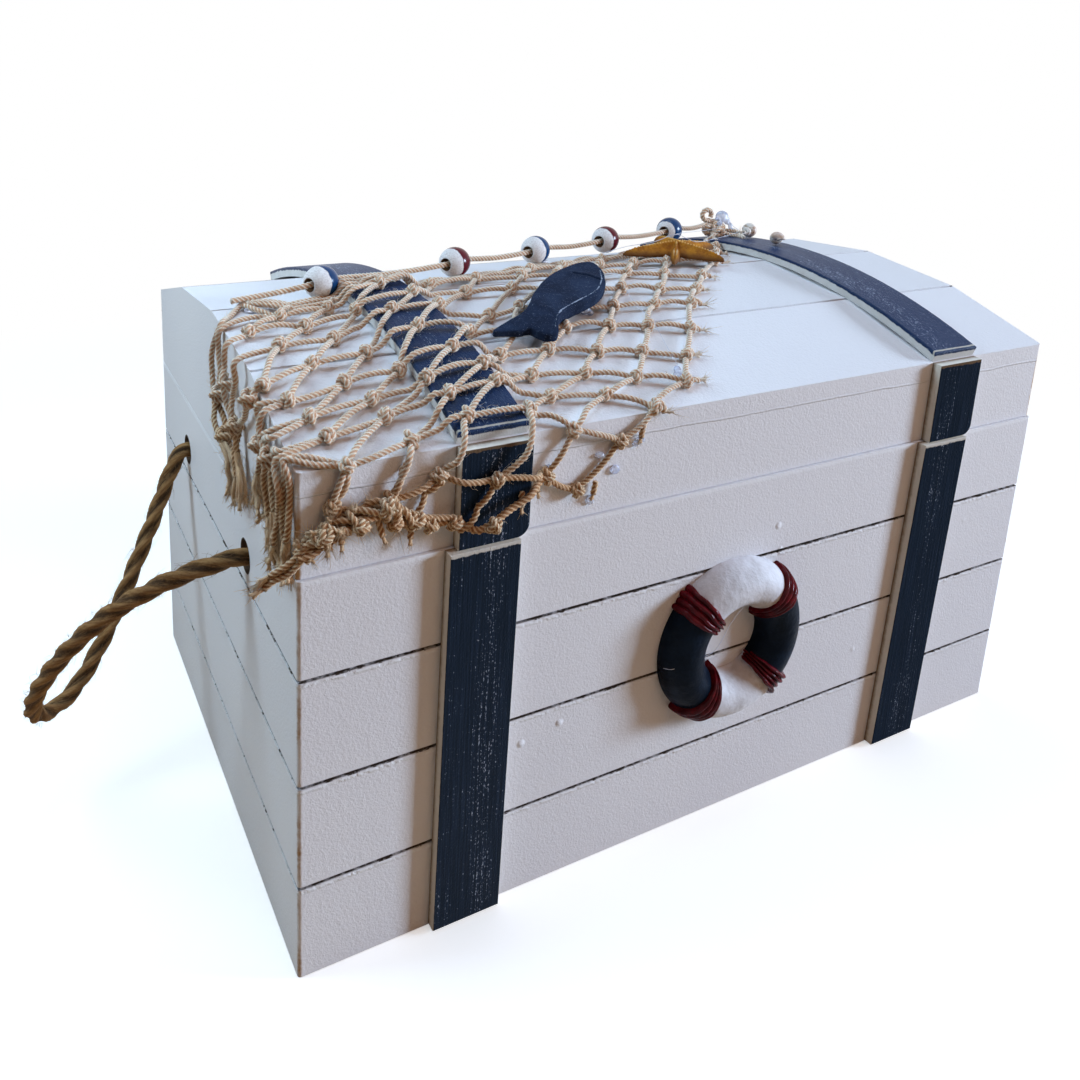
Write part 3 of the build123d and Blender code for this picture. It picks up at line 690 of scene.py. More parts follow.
class Cordage:
    """Collects many cords and fibres into one mesh."""

    def __init__(self):
        self.points, self.faces = [], []
        self.depths, self.tints, self.yarns = [], [], []
        self.size, self.length = 0, 0.0

    def sweep(self, line, section, radius, lay=0.0, thin=1.0, start=0.0):
        """Sweeps a section along a line, turning once in each lay; thin scales the radius along it."""
        angles, reach, depth = section
        tangent, side, other = carried_frames(line)
        along = distances(line)
        turn = start + (CIRCLE * along / lay if lay else 0 * along)
        around = angles[None, :] + turn[:, None]
        far = reach[None, :] * radius * (thin * np.ones(len(line)))[:, None]
        ring = line[:, None, :] + far[..., None] * (
            np.cos(around)[..., None] * side[:, None, :] + np.sin(around)[..., None] * other[:, None, :])
        count, width = around.shape
        index = self.size + np.arange(count * width).reshape(count, width)
        following = np.roll(index, -1, axis=1)
        quads = np.stack([index[:-1], following[:-1], following[1:], index[1:]], axis=-1).reshape(-1, 4)
        self.faces += quads.tolist() + [index[0][::-1].tolist(), index[-1].tolist()]
        self.points.append(ring.reshape(-1, 3))
        self.depths.append(np.tile(depth, count))
        tint = chance.uniform()
        self.tints.append(np.full(count * width, tint))
        yarn = np.empty((count, width, 3))
        yarn[..., 0], yarn[..., 1] = np.cos(angles), np.sin(angles)
        yarn[..., 2] = (along / YARN_LENGTH + 40 * tint)[:, None]
        self.yarns.append(yarn.reshape(-1, 3))
        self.size += count * width
        return along[-1]

    def cord(self, line, radius, lay, per_strand=3):
        """One laid cord."""
        self.length += self.sweep(line, lobed_section(per_strand), radius, lay, start=chance.uniform(0, 6.28))

    def thread(self, line, sides, depth, radius, thin=1.0):
        """One plain round thread."""
        section = (np.arange(sides) * CIRCLE / sides, np.ones(sides), np.full(sides, depth))
        self.sweep(line, section, radius, thin=thin)

    def fibre(self, line, radius):
        """One loose fibre, which thins to its tip."""
        self.thread(line, 3, 0.55, radius, np.linspace(1.0, 0.35, len(line)))

    def fuzz(self, line, radius, every, length):
        """Short loose hairs that stand off a cord."""
        tangent, side, other = carried_frames(line)
        for _ in range(int(np.linalg.norm(line[-1] - line[0]) / every)):
            spot = chance.integers(1, len(line) - 1)
            out = wound_round(side[spot], other[spot], chance.uniform(0, CIRCLE))
            lean = tangent[spot] * chance.choice((-1, 1)) * chance.uniform(0.4, 1.6)
            root = line[spot] + out * radius * 0.8
            middle = root + (out * 0.55 + lean * 0.35) * length
            tip = root + (out * 0.7 + lean) * length * chance.uniform(0.5, 1.3)
            self.fibre(np.array([root, middle, tip]), 0.055 * MM)

    def make(self, name, material):
        marks = {"valley": np.concatenate(self.depths), "tint": np.concatenate(self.tints)}
        marks["yarn"] = np.vstack(self.yarns)
        print(name, "%d points, %.0f mm of cord" % (self.size, self.length / MM))
        return smooth_piece(name, np.vstack(self.points).tolist(), self.faces, material, **marks)


# %% Cord finishes


def fibre_finish(name, top, deep, pale, weave, fuzz_tint, streaks, lobes, deep_from, warm_shade_tints=None):
    """A fibrous finish: painted shade darkens the valleys between the strands, and the tone is uneven from cord to
    cord.
    """
    f = Finish(name, rough=0.9, shine=0.25)
    tint = f.mark("tint")
    grain = f.noise(weave, 3, 0.65)
    streak = f.noise(1, 3, 0.6, f.stretched((streaks, streaks, 1.3), at=f.mark("yarn", "Vector")))
    # painted shade: the deep colour goes where a point lies deep between the strands
    depth = (grain * 0.35 + streak * 0.9 + f.mark("valley") * lobes).ease(deep_from, deep_from + 0.7)
    lit = tint * 0.30 + f.noise(60, 3, 0.6).ease(0.35, 0.72) * 0.35 + streak.ease(0.56, 0.36) * 0.45
    colour = f.blend(depth, f.blend(lit, top, pale), deep)
    if warm_shade_tints:
        golden, straw, gap = warm_shade_tints
        # painted shade: below the lid's arris the cords take warmer, darker colours for the warm shade there
        hanging_shade = f.axes(f.place)[2].ease(ARRIS + 1.5 * MM, ARRIS - 11 * MM)
        colour = f.blend(hanging_shade * 0.9, colour, f.blend(depth, f.blend(tint, golden, straw), gap))
    f.colour(colour)
    for socket, value in (("Sheen Weight", 0.35), ("Sheen Roughness", 0.5), ("Sheen Tint", fuzz_tint)):
        f.set(socket, value)
    f.bump(streak * 1.8 + grain, 0.20 * MM / lobes)
    return f.material


# the cotton is painted golden and darker where it hangs below the lid's arris: painted warm shade
cotton = fibre_finish("cotton_cord", (0.99, 0.83, 0.65), (0.70, 0.38, 0.21), (0.99, 0.93, 0.82), 2600,
                      (1.0, 0.94, 0.82), 3.0, 1.0, 0.95,
                      warm_shade_tints=((0.86, 0.54, 0.285), (0.98, 0.77, 0.51), (0.40, 0.170, 0.055)))
jute = fibre_finish("jute_rope", (0.170, 0.074, 0.022), (0.024, 0.010, 0.003), (0.42, 0.230, 0.090), 1500,
                    (0.8, 0.50, 0.25), 2.6, 0.55, 0.62)
print("finishes:", cotton.name, jute.name)

# %% [markdown]
# ## The rope handles
#
# Each handle is one length of jute rope, pushed through two holes and stopped by a knot inside each. It is
# stiff enough to stand off the end of the chest, drops under its own weight, and folds tightly where it
# turns back. The rope follows one smooth spline with the same points as the construction model's tube.
# The spline is read once it is smooth, and the three strands are wound along that line. A thin cord looks
# wrong without fuzz, so a few hundred loose fibres stand off it.

# %% Rope route
ROPE_DIAMETER, ROPE_LAY, ROPE_LENGTH = 6 * MM, 32 * MM, 0.238
ROPE_STEP = 0.55 * MM
MOUTH_STAND, WALL = 3.5 * MM, 7 * MM
KNOT_DEPTH = 4.5 * MM
SWING_ZONE = 10 * MM
# out from the wall, along it and up from the holes, in millimetres
rope_route = [
    (13.5, -41.5, -1.5), (26.0, -36.5, -7.5), (39.5, -28.5, -18.5), (51.0, -19.5, -34.0), (58.5, -10.5, -50.5),
    (60.3, -2.0, -63.5), (57.5, 6.0, -72.0), (50.5, 12.5, -74.3), (43.0, 17.5, -69.8), (36.0, 21.5, -60.5),
    (29.0, 25.5, -49.0), (22.3, 30.0, -37.0), (15.5, 34.5, -24.5), (9.5, 38.5, -12.0),
]
print("rope route reaches %.1f mm below the holes" % -min(up for out, along, up in rope_route))


def rope_points(sign):
    """The rope's points from its front knot to its back knot; sign is -1 at the left end."""
    half = HOLE_SPREAD / 2
    stands = (-WALL - KNOT_DEPTH, -WALL / 2, MOUTH_STAND)
    local = [(out, -half, 0.0) for out in stands] + in_metres(rope_route) + [(out, half, 0.0) for out in stands[::-1]]
    return [Vector((sign * (RIGHT + out), HOLE_SHIFT + along, HOLE_HEIGHT + up)) for out, along, up in local]


def smooth_spline(points, name):
    """The points of one smooth spline, read back from a curve without thickness."""
    curve = bpy.data.curves.new(name, "CURVE")
    curve.dimensions = "3D"
    curve.resolution_u = 12
    spline = curve.splines.new("NURBS")
    spline.points.add(len(points) - 1)
    for control, point in zip(spline.points, points):
        control.co = (*point, 1)
    spline.order_u = 3
    spline.use_endpoint_u = True
    guide = bpy.data.objects.new(name, curve)
    mesh = bpy.data.meshes.new_from_object(guide)
    line = np.array([vertex.co for vertex in mesh.vertices])
    bpy.data.objects.remove(guide)
    bpy.data.meshes.remove(mesh)
    return line


# %% Rope, fuzz and stopper knots


def stopper_knot(cordage, place, sign):
    """Two turns of the same rope pulled up against the wall."""
    turns = np.linspace(0, 2.2 * CIRCLE, 60)
    coil = [place.x - sign * (turns / turns[-1] * 5.0 * MM), place.y + 4.1 * MM * np.cos(turns),
            place.z + 4.1 * MM * np.sin(turns)]
    cordage.cord(np.stack(coil, axis=1), ROPE_DIAMETER / 2 * 0.93, ROPE_LAY)


def rope_fuzz(cordage, line, count, longest):
    """Loose fibres that stand off a rope."""
    tangent, side, other = carried_frames(line)
    for _ in range(count):
        spot = chance.integers(4, len(line) - 5)
        out = wound_round(side[spot], other[spot], chance.uniform(0, CIRCLE))
        lean = tangent[spot] * chance.uniform(-1.6, 1.6)
        reach = chance.uniform(0.35, 1.0) * longest
        start = line[spot] + out * ROPE_DIAMETER / 2 * 0.85
        middle = start + (out * 0.75 + lean * 0.6) * reach * 0.5
        tip = start + (out * 0.9 + lean * 1.4) * reach * 0.9
        cordage.fibre(soft_line([start, middle, tip], reach / 4), 0.06 * MM)


for side, sign in (("left", -1), ("right", 1)):
    points = rope_points(sign)
    route = smooth_spline(points, "rope_guide_" + side)
    strands, knots = Cordage(), Cordage()
    middle_line = even_steps(route, ROPE_STEP)
    strands.cord(middle_line, ROPE_DIAMETER / 2, ROPE_LAY, per_strand=5)
    rope_fuzz(strands, middle_line[np.abs(middle_line[:, 0]) > RIGHT + 2 * MM], 480, 2.8 * MM)
    rope = strands.make("rope_handle_" + side, jute)
    for end in (points[0], points[-1]):
        stopper_knot(knots, end, sign)
    knot = knots.make("rope_knots_" + side, jute)
    stands_for(knot, "rope_%s_tails" % side, "box")
    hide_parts("rope_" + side)
    loop = (sign * (RIGHT + SWING_ZONE), 0.0, HOLE_HEIGHT)
    side + "_handle"
    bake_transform(rope)

# %% [markdown]
# ## The fishing net: where its knots are
#
# The net is a corner of real netting, glued down along one edge and pulled out of square, so its meshes are
# lozenges of different sizes. It could be a flat plane with a picture of a net, or a grid squeezed on the
# lid, but its charm is that it was laid by hand: every knot has its own place. So the knots are listed,
# column by column from the right, as a distance along the lid and a distance down from its crest, both in
# millimetres. Cords run from knot to knot both ways, and sag or stand a little off the lid between them.

# %% The lid's surface as a cord feels it
FRONT_ARRIS, FRONT_RIDGE, CREST = ridges[:3]
TO_RIDGE = (FRONT_RIDGE - CREST).length
TO_ARRIS = TO_RIDGE + (FRONT_ARRIS - FRONT_RIDGE).length
CORNER_SOFT = 2.5 * MM
BELOW_SEAM = 30 * MM
profile = [ridges[3], CREST, FRONT_RIDGE, FRONT_ARRIS, Vector((0, LID_FRONT, SEAM - BELOW_SEAM))]
profile_at = [-TO_RIDGE, 0.0, TO_RIDGE, TO_ARRIS, TO_ARRIS + ARRIS - SEAM + BELOW_SEAM]
print("crest to ridge %.1f mm, crest to arris %.1f mm" % (TO_RIDGE / MM, TO_ARRIS / MM))


def outward(piece):
    run = profile[piece + 1] - profile[piece]
    return Vector((0, run.z, -run.y)).normalized()


def lid_point(x, down, lift):
    """A point over the lid: x along it, down from the crest towards the front, and lift off the surface."""
    down = min(max(down, profile_at[0] + MM), profile_at[-1] - MM)
    piece = max(place for place in range(4) if down >= profile_at[place])
    start, end = profile_at[piece], profile_at[piece + 1]
    spot = profile[piece].lerp(profile[piece + 1], (down - start) / (end - start))
    facing = outward(piece)
    for beside, near in ((piece + 1, end - down), (piece - 1, down - start)):
        if 0 <= beside < 4 and near < CORNER_SOFT:
            facing = facing.lerp(outward(beside), 0.5 - 0.5 * near / CORNER_SOFT).normalized()
    spot = spot + facing * lift
    return Vector((x, spot.y, spot.z))


def rest_on_lid(x, down, lift):
    """The same, for a cord that also has to climb over the left crown strap."""
    ease = min(max(crown_low.x - x, x - crown_high.x, 0.0) / (5 * MM), 1.0)
    return lid_point(x, down, lift + STRAP_PROUD * (1 - ease * ease * (3 - 2 * ease)))


def lay_over(places, lift, sag=0.0):
    """A smooth run through places on the lid, lying lift above it and bowing off it between them."""
    dense = []
    for (x0, d0), (x1, d1) in zip(places, places[1:]):
        bow = sag * chance.uniform(0.2, 1.0)
        away = Vector((d1 - d0, x0 - x1)).normalized() * (chance.uniform(-1.1, 1.1) * MM)
        for share in np.arange(8) / 8:
            hump = 4 * share * (1 - share)
            dense.append(rest_on_lid(x0 + (x1 - x0) * share + away.x * hump, d0 + (d1 - d0) * share + away.y * hump,
                                     lift + bow * hump))
    return soft_line([*dense, rest_on_lid(*places[-1], lift)])


# %% The knots, column by column
net_columns = [
    (-2, [(84, -30), (72, -16), (57.2, 0.7), (38.8, 15.3), (25.7, 28.3), (14.3, 40.5), (1.3, 56.9), (-11.1, 71.8),
          (-20.4, 84.6), (-39.2, 93.0), (-51.7, 100.5), (-66.1, 113.5)]),
    (-2, [(62, -33), (50, -17), (36, -4), (24.3, 9.5), (11.3, 24.8), (-0.4, 37.7), (-14.1, 52.7), (-25.7, 66.4),
          (-36.3, 78.9), (-51.6, 85.0), (-68.5, 94.9), (-77.0, 107.0)]),
    (-1, [(33, -19), (20.6, -6), (9.7, 5.0), (-3.3, 20.1), (-17.1, 35.5), (-28.5, 50.0), (-41.3, 63.2),
          (-51.9, 73.3), (-69.5, 81.9), (-80.7, 89.0), (-95.2, 103.0)]),
    (-1, [(15, -21), (6, -9), (-6, 4), (-18, 18), (-33, 32), (-44.8, 48.1), (-57.5, 58.7), (-69.9, 70.5),
          (-85.2, 75.3), (-100.7, 88.8), (-110.9, 100.6)]),
    (0, [(-9, -13), (-20, 1), (-33, 14), (-51, 27), (-62, 45.5), (-75.0, 58.5), (-85.2, 66.1), (-101.5, 77.9),
         (-117.7, 90.9), (-125.0, 105.0)]),
    (0, [(-24, -13), (-34, -2), (-45, 10), (-65.6, 32.4), (-79.7, 46.0), (-90.8, 55.8), (-105.1, 69.6),
         (-120.8, 79.5), (-137.0, 94.1), (-141.0, 104.0)]),
    (1, [(-52, -5), (-63.5, 9.8), (-81.5, 25.4), (-96.1, 42.3), (-109.4, 59.9), (-121.9, 71.1), (-138.8, 83.7)]),
    (1, [(-73, 0), (-86.0, 13.8), (-98.7, 26.7), (-115.6, 48.8), (-126.7, 61.6), (-140.8, 74.7)]),
    (1, [(-93.8, 3.3), (-108.2, 19.3), (-121.6, 36.9), (-132.9, 50.9), (-144.4, 66.4)]),
    (1, [(-115.2, 12.5), (-126.9, 25.6), (-138.5, 37.3), (-149.2, 58.3)]),
    (1, [(-131.8, 15.0), (-144.4, 25.3)]),
]
knot_places = {}
for column, (first, places) in enumerate(net_columns):
    for step, place in enumerate(in_metres(places)):
        knot_places[column, first + step] = place
print(len(knot_places), "knots on the lid")


def edge_down(x):
    """Where the net's back edge runs, under the string of beads."""
    return (4.3 - 0.2229 * (x / MM + 112.5)) * MM


def column_places(column):
    """A column's knots from the back, with its start under the back edge where the net's slant leaves a gap."""
    places = [knot_places[key] for key in sorted(knot_places) if key[0] == column]
    x, down = places[0]
    gap = down - edge_down(x + 5 * MM)
    return places if gap <= 3 * MM else [(x + min(0.7 * gap, 9 * MM), down - gap), *places]


# %% Cut ends and knots
NET_CORD, NET_LAY = 1.04 * MM, 4.5 * MM
REST_LIFT = NET_CORD + 0.35 * MM
KNOT_LIFT = REST_LIFT + 0.9 * MM
CORD_SAG = 2.0 * MM
FIRST_ROW, LAST_ROW = -2, 9
net = Cordage()
print("net cord %.1f mm thick, %.1f mm off the lid" % (2 * NET_CORD / MM, (REST_LIFT - NET_CORD) / MM))


def frayed_end(cordage, root, heading, length=5 * MM, spread=0.35):
    """The strands of a cut cord opening out, with loose fibres among them."""
    root, heading = Vector(root), Vector(heading).normalized()
    side = heading.orthogonal().normalized()
    for ply in range(STRANDS):
        angle = CIRCLE * (ply + chance.uniform(-0.2, 0.2)) / STRANDS
        lean = (Quaternion(heading, angle) @ side) * spread * chance.uniform(0.5, 1.2)
        tip = root + (heading + lean) * length * chance.uniform(0.6, 1.0)
        line = soft_line([root, root + (heading * 0.5 + lean * 0.25) * length, tip])
        cordage.thread(line, 6, 0.5, 0.5 * MM, np.linspace(1.0, 0.7, len(line)))
    for _ in range(16):
        lean = Vector(chance.normal(0, spread, 3))
        tip = root + (heading + lean) * length * chance.uniform(0.7, 1.5)
        line = soft_line([root, root + (heading + lean * 0.3) * length * 0.5, tip], 1.2 * MM)
        cordage.fibre(line, 0.11 * MM)


def unlaid(cordage, line):
    """The end of a cord that has come untwisted: wavy yarns that spread, and a cloud of loose fibres."""
    tangent, side, other = carried_frames(line)
    share = np.linspace(0, 1, len(line))
    for ply in range(STRANDS):
        angle = CIRCLE * (ply + chance.uniform(-0.2, 0.2)) / STRANDS
        reach = (0.45 + share * chance.uniform(0.5, 1.3)) * MM
        wave = 0.5 * MM * share * np.sin(share * chance.uniform(7, 14) + ply)
        yarn = line + wound_round(side, other, angle) * reach[:, None] + side * wave[:, None]
        yarn[:, 0] = np.minimum(yarn[:, 0], LEFT - 0.8 * MM)
        cordage.thread(yarn, 6, 0.55, 0.72 * MM, np.linspace(1.0, 0.9, len(line)))
        frayed_end(cordage, yarn[-1], yarn[-1] - yarn[-4], 2.4 * MM, 0.30)
        cordage.fuzz(yarn, 0.6 * MM, 0.35 * MM, 2.0 * MM)
    for _ in range(int(len(line) * 0.8)):
        spot = chance.integers(0, len(line))
        lean = Vector(chance.normal(0, 0.45, 3)) + Vector(tangent[spot]) + Vector((-0.2, 0.0, 0.0))
        root = Vector(line[spot]) + Vector(chance.normal(0, 0.6, 3)) * MM
        bend = Vector(chance.normal(0, 0.4, 3)) * MM
        reach = chance.uniform(1.5, 3.6) * MM
        points = np.array([root, root + lean * reach * 0.5 + bend, root + lean * reach])
        points[:, 0] = np.minimum(points[:, 0], LEFT - 0.4 * MM)
        cordage.fibre(soft_line(points, 1.4 * MM), 0.09 * MM)


# %% A netting knot


def wrap_knot(middle, along, up, size=1.0):
    """A netting knot: two turns round the crossing, then one turn slanting over them."""
    along, up = Vector(along).normalized(), Vector(up).normalized()
    side = along.cross(up).normalized()
    up = side.cross(along).normalized()
    radius = 1.20 * MM * size
    turns = np.linspace(-0.1, 1.7, 34) * CIRCLE
    places = (turns / turns[-1] - 0.5) * 2.9 * MM * size
    along_sway = along + side * chance.uniform(-0.35, 0.35)
    first = np.array([middle + along_sway * place + wound_round(side * 1.2, up, turn) * radius
                      for turn, place in zip(turns, places)])
    net.cord(first, NET_CORD * 0.98, NET_LAY * 0.85)
    slant = (along * chance.uniform(0.4, 0.7) + side * chance.choice((-0.8, 0.8))).normalized()
    across = slant.cross(up).normalized()
    second = [middle + slant * (turn / CIRCLE - 0.25) * 1.9 * MM
              + wound_round(across * 1.2, up * 1.4, turn) * radius * 1.15
              for turn in np.linspace(-0.25, 0.75, 20) * CIRCLE]
    net.cord(np.array(second), NET_CORD * 0.92, NET_LAY * 0.85)
    net.fuzz(first, NET_CORD, 0.9 * MM, 1.6 * MM)


def net_run(line, share=1.0):
    """One cord of the net, with its loose hairs."""
    net.cord(line, NET_CORD * share, NET_LAY)
    net.fuzz(line, NET_CORD, 0.8 * MM, 1.6 * MM)


# %% Columns, rows and knots on the lid
for column in range(len(net_columns)):
    net_run(lay_over(column_places(column), REST_LIFT, CORD_SAG))
for row in range(FIRST_ROW, LAST_ROW + 1):
    places = [knot_places[key] for key in sorted(knot_places) if key[1] == row]
    if len(places) < 2:
        continue
    if row in range(-1, 8):
        x, down = places[0]
        places.insert(0, (x + chance.uniform(3.0, 6.0) * MM, down + chance.uniform(-1.0, 1.5) * MM))
    net_run(lay_over(places, REST_LIFT, CORD_SAG))
    if row in range(-1, 9):
        end = rest_on_lid(*places[0], REST_LIFT)
        frayed_end(net, end, (1.0, chance.uniform(-0.4, 0.3), 0.05), 3.4 * MM, 0.4)
for (column, row), place in knot_places.items():
    here = rest_on_lid(*place, KNOT_LIFT)
    after = knot_places.get((column, row + 1)) or knot_places.get((column, row - 1))
    wrap_knot(here, rest_on_lid(*after, KNOT_LIFT) - here, here - rest_on_lid(*place, 0), chance.uniform(0.92, 1.1))
print("lid cords and knots: %d points" % net.size)

# %% [markdown]
# ## The net's edges
#
# At the back a doubled head cord runs under the beads. At the left the cords tumble over the end of the lid,
# gather in three bunches and end in tassels where the net was cut. At the front the leftover corner was
# rolled up and glued, so a thick untidy rope of cords and cut ends runs along the rim. These parts are laid
# strand by strand, because their tangle is what makes the net look real.

# %% Head cords and the hanging side


def end_point(y, z, lift):
    """A point off the lid's left end."""
    return Vector((LEFT - lift, y * MM, z * MM))


def loose(points, amount):
    """The same points, nudged a little between the ends, so that strands that run together don't match."""
    moved = [Vector(point) + Vector(chance.normal(0, amount, 3)) for point in points[1:-1]]
    return [points[0], *moved, points[-1]]


# knots that the cord comes from, how far down it crosses the lid's end, and its fall as y and z
hanging = [
    ([(-131.8, 15.0), (-141.0, 12.5)], 19,
     [(-16.5, 168), (-18.5, 161), (-17.5, 153), (-23, 147.5), (-28, 141.5), (-38, 135), (-43, 129.5)]),
    ([(-140.6, 1.0), (-147.0, 9.0)], 15, [(-14.5, 167), (-16, 158), (-19, 151), (-24, 146), (-33, 139), (-37, 130)]),
    ([(-144.4, 25.3)], 31,
     [(-29.5, 167), (-31, 161.5), (-34, 156), (-40, 151.4), (-42, 143), (-44, 136), (-41.5, 129.5)]),
    ([(-138.5, 37.3)], 43, [(-42, 166), (-37, 160), (-38, 154.5), (-41, 151), (-44, 142), (-48, 136.5), (-47, 131)]),
    ([(-149.2, 58.3)], 58.3, [(-53, 163), (-47, 157), (-41, 151.8), (-40, 144), (-41, 137), (-38, 129)]),
    ([(-149.2, 58.3)], 59.5, [(-60, 163), (-65, 159), (-67.2, 156.7), (-65, 148), (-60, 142), (-59, 137)]),
    ([(-144.4, 66.4)], 70, [(-67, 162), (-68, 157), (-66, 149), (-67, 142), (-68.5, 138.5)]),
    ([(-144.4, 66.4)], 66, [(-62, 164), (-66, 158), (-69, 150), (-71, 142), (-70, 137)]),
    ([(-140.8, 74.7)], 80, [(-73, 160), (-76, 156.4), (-76, 148), (-78, 139), (-79, 130)]),
    ([(-140.8, 74.7)], 76, [(-70, 160), (-74, 156), (-73, 148), (-74, 140), (-76, 132)]),
    ([(-138.8, 83.7)], 88, [(-84, 158), (-86, 153), (-84, 144), (-83, 136), (-81, 129)]),
    ([(-138.8, 83.7)], 85, [(-79, 159), (-80, 152), (-80, 143), (-81, 135), (-84, 128)]),
    ([(-137.0, 94.1), (-146.0, 92.0)], 91, [(-89, 157), (-90, 152), (-89, 143), (-88, 135), (-86, 130)]),
    ([(-137.0, 94.1), (-146.0, 91.0)], 89.5, [(-87, 157), (-87.5, 149), (-86, 141), (-87, 134), (-90, 129)]),
]
gathers = [(-31, 161.5), (-40.5, 151.4), (-20.6, 154.3), (-67.2, 156.7), (-76.5, 156.6), (-27, 143), (-57, 166)]
OVER_EDGE = 0.72 * (REST_LIFT + 0.5 * MM)
for before, edge, fall in hanging:
    lift = NET_CORD + chance.uniform(0.4, 2.2) * MM
    line = [rest_on_lid(*place, REST_LIFT) for place in in_metres(before)]
    line.append(lid_point(LEFT, edge * MM, 0) + Vector((-OVER_EDGE, 0, OVER_EDGE)))
    line += [end_point(y, z, lift) for y, z in fall]
    line = soft_line(loose(line, 0.6 * MM))
    cut = int(len(line) * chance.uniform(0.74, 0.90))
    net_run(line[:cut])
    unlaid(net, line[cut - 1:])
for y, z in gathers:
    wrap_knot(end_point(y, z, 3.0 * MM), (0, 0.3, -1), (-1, 0, 0), 1.15)
left_back = (-140.6 * MM, 1.0 * MM)
for shift, lift in ((0.0, 0.2), (2.6, 0.4), (-2.4, 0.2)):
    places = [left_back]
    for x in np.linspace(-126, 80, 17) * MM:
        places.append((x, edge_down(x) + (shift + chance.uniform(-0.8, 0.8)) * MM))
    net.cord(lay_over(places, REST_LIFT + lift * MM, 1.2 * MM), NET_CORD * 0.95, NET_LAY)
net.cord(lay_over([left_back, (-131.8 * MM, 15 * MM)], REST_LIFT, CORD_SAG), NET_CORD, NET_LAY)
print("with the hanging side: %d points" % net.size)

# %% The core of the rolled front edge
# x, z and how far off the rim, in millimetres
roll = [(-150.0, 136.0, 3.2), (-146, 140.5, 4.2), (-141, 143, 5.0), (-135, 145, 5.0), (-129, 146, 5.0),
        (-124, 143, 4.4), (-118.5, 139.8, 4.0)]
after_roll = [(-118.5, 139.8, 3.5), (-112, 137.8, 3.2), (-106.5, 137.0, 3.4), (-101.5, 135.0, 7.0), (-97, 136.5, 8.0),
              (-91, 139.5, 7.5), (-85, 142, 7.0), (-81, 143.5, 4.0), (-77.5, 145.0, 2.6)]
tail = [(-146, 140.5, 4.0), (-149.5, 137.5, 4.0), (-152.5, 134.0, 3.0), (-155.5, 131.5, 1.5), (-158.0, 129.5, 0.5)]
ROLL_STRANDS = 5


def rim_point(x, z, off):
    """A point in front of the lid's rim, from millimetres."""
    return Vector((x * MM, LID_FRONT - off * MM, z * MM))


def before_rim(line, gap):
    """The same line, kept clear of the rim."""
    line[:, 1] = np.minimum(line[:, 1], LID_FRONT - gap)
    return line


core = soft_line([rim_point(*spot) for spot in roll])
tangent, side, other = carried_frames(core)
share = np.linspace(0, 1, len(core))
for strand in range(ROLL_STRANDS):
    phase = CIRCLE * strand / ROLL_STRANDS
    turn = phase + share * 2.6 * math.pi + 0.5 * np.sin(share * 9 + phase)
    reach = (1.9 + 0.5 * np.sin(share * 12 + 2 * phase)) * MM
    line = core + reach[:, None] * (np.cos(turn)[:, None] * side + np.sin(turn)[:, None] * other)
    net.cord(before_rim(line, NET_CORD + 0.2 * MM), NET_CORD, NET_LAY)
for _ in range(34):
    spot = chance.integers(0, len(core) - 4)
    away = Vector(wound_round(side[spot], other[spot], chance.uniform(0, CIRCLE)))
    root = Vector(core[spot]) + away * chance.uniform(1.6, 2.8) * MM
    heading = away + Vector(tangent[spot]) * chance.normal(0, 0.9)
    root.y = min(root.y, LID_FRONT - 1.2 * MM)
    heading.y = min(heading.y, -0.15)
    frayed_end(net, root, heading, chance.uniform(1.5, 2.6) * MM, 0.5)
for _ in range(7):
    spot = chance.integers(6, len(core) - 8)
    skew, size = chance.uniform(0.3, 1.4), chance.uniform(2.2, 3.0) * MM
    turns = np.linspace(0, chance.uniform(1.1, 1.8) * math.pi, 16) + chance.uniform(0, 6.28)
    loop = np.array([core[spot] + wound_round(side[spot], other[spot], turn) * size
                     + tangent[spot] * (turn - turns[0]) * skew * MM for turn in turns])
    net_run(soft_line(before_rim(loop, NET_CORD + 0.3 * MM)), 0.9)
print("roll %.0f mm long; net so far: %d points" % (distances(core)[-1] / MM, net.size))

# %% The roll's ends, drops, knots and stubs
drops = [
    [(-137.0, 94.1), (-139.5, 102.0), (-141.0, 110.0)], [(-117.7, 90.9), (-121.5, 97.0), (-125.5, 105.5)],
    [(-110.9, 100.6), (-115.0, 104.5), (-118.5, 111.5)], [(-95.2, 103.0), (-100.5, 110.5), (-106.0, 116.5)],
]
roll_knots = [(-128, 147.5, 7), (-144.5, 142.5, 7), (-135, 143.5, 7.5), (-125, 141.5, 6), (-118.6, 140.5, 5),
              (-97, 136.5, 9), (-106.8, 137.2, 4.5), (-114, 138, 4)]
stubs = [(-144.4, 141.5, 7.5), (-140.1, 140.0, 8.0), (-129.2, 138.5, 6.0), (-143.0, 137.5, 5.0), (-118.9, 134.5, 3.0),
         (-80.5, 140.5, 3.0), (-86.0, 138.5, 6.0), (-59.5, 135.5, 2.0), (-43.5, 151.0, 2.0)]
for shift in (-1.4, 0.0, 1.3, 2.2):
    line = [rim_point(x + 0.4 * shift, z + shift, off + 0.4 * abs(shift)) for x, z, off in tail]
    line = soft_line(loose(line, 0.25 * MM))
    net.cord(line, NET_CORD * 0.95, NET_LAY)
    frayed_end(net, line[-1], (-1, 0.2, -0.55), 3.8 * MM, 0.26)
for shift, count, share in ((0.0, len(after_roll), 1.15), (1.5, 3, 1.0)):
    line = [rim_point(x, z + shift, off + 0.4 * shift) for x, z, off in after_roll[:count]]
    net.cord(soft_line(loose(line, 0.15 * MM)), NET_CORD * share, NET_LAY)
for drop in drops:
    net.cord(lay_over(in_metres(drop), REST_LIFT, CORD_SAG), NET_CORD, NET_LAY)
for spot in roll_knots:
    wrap_knot(rim_point(*spot), (1, 0, chance.uniform(-0.5, 0.5)), (0, -1, 0), chance.uniform(0.85, 1.1))
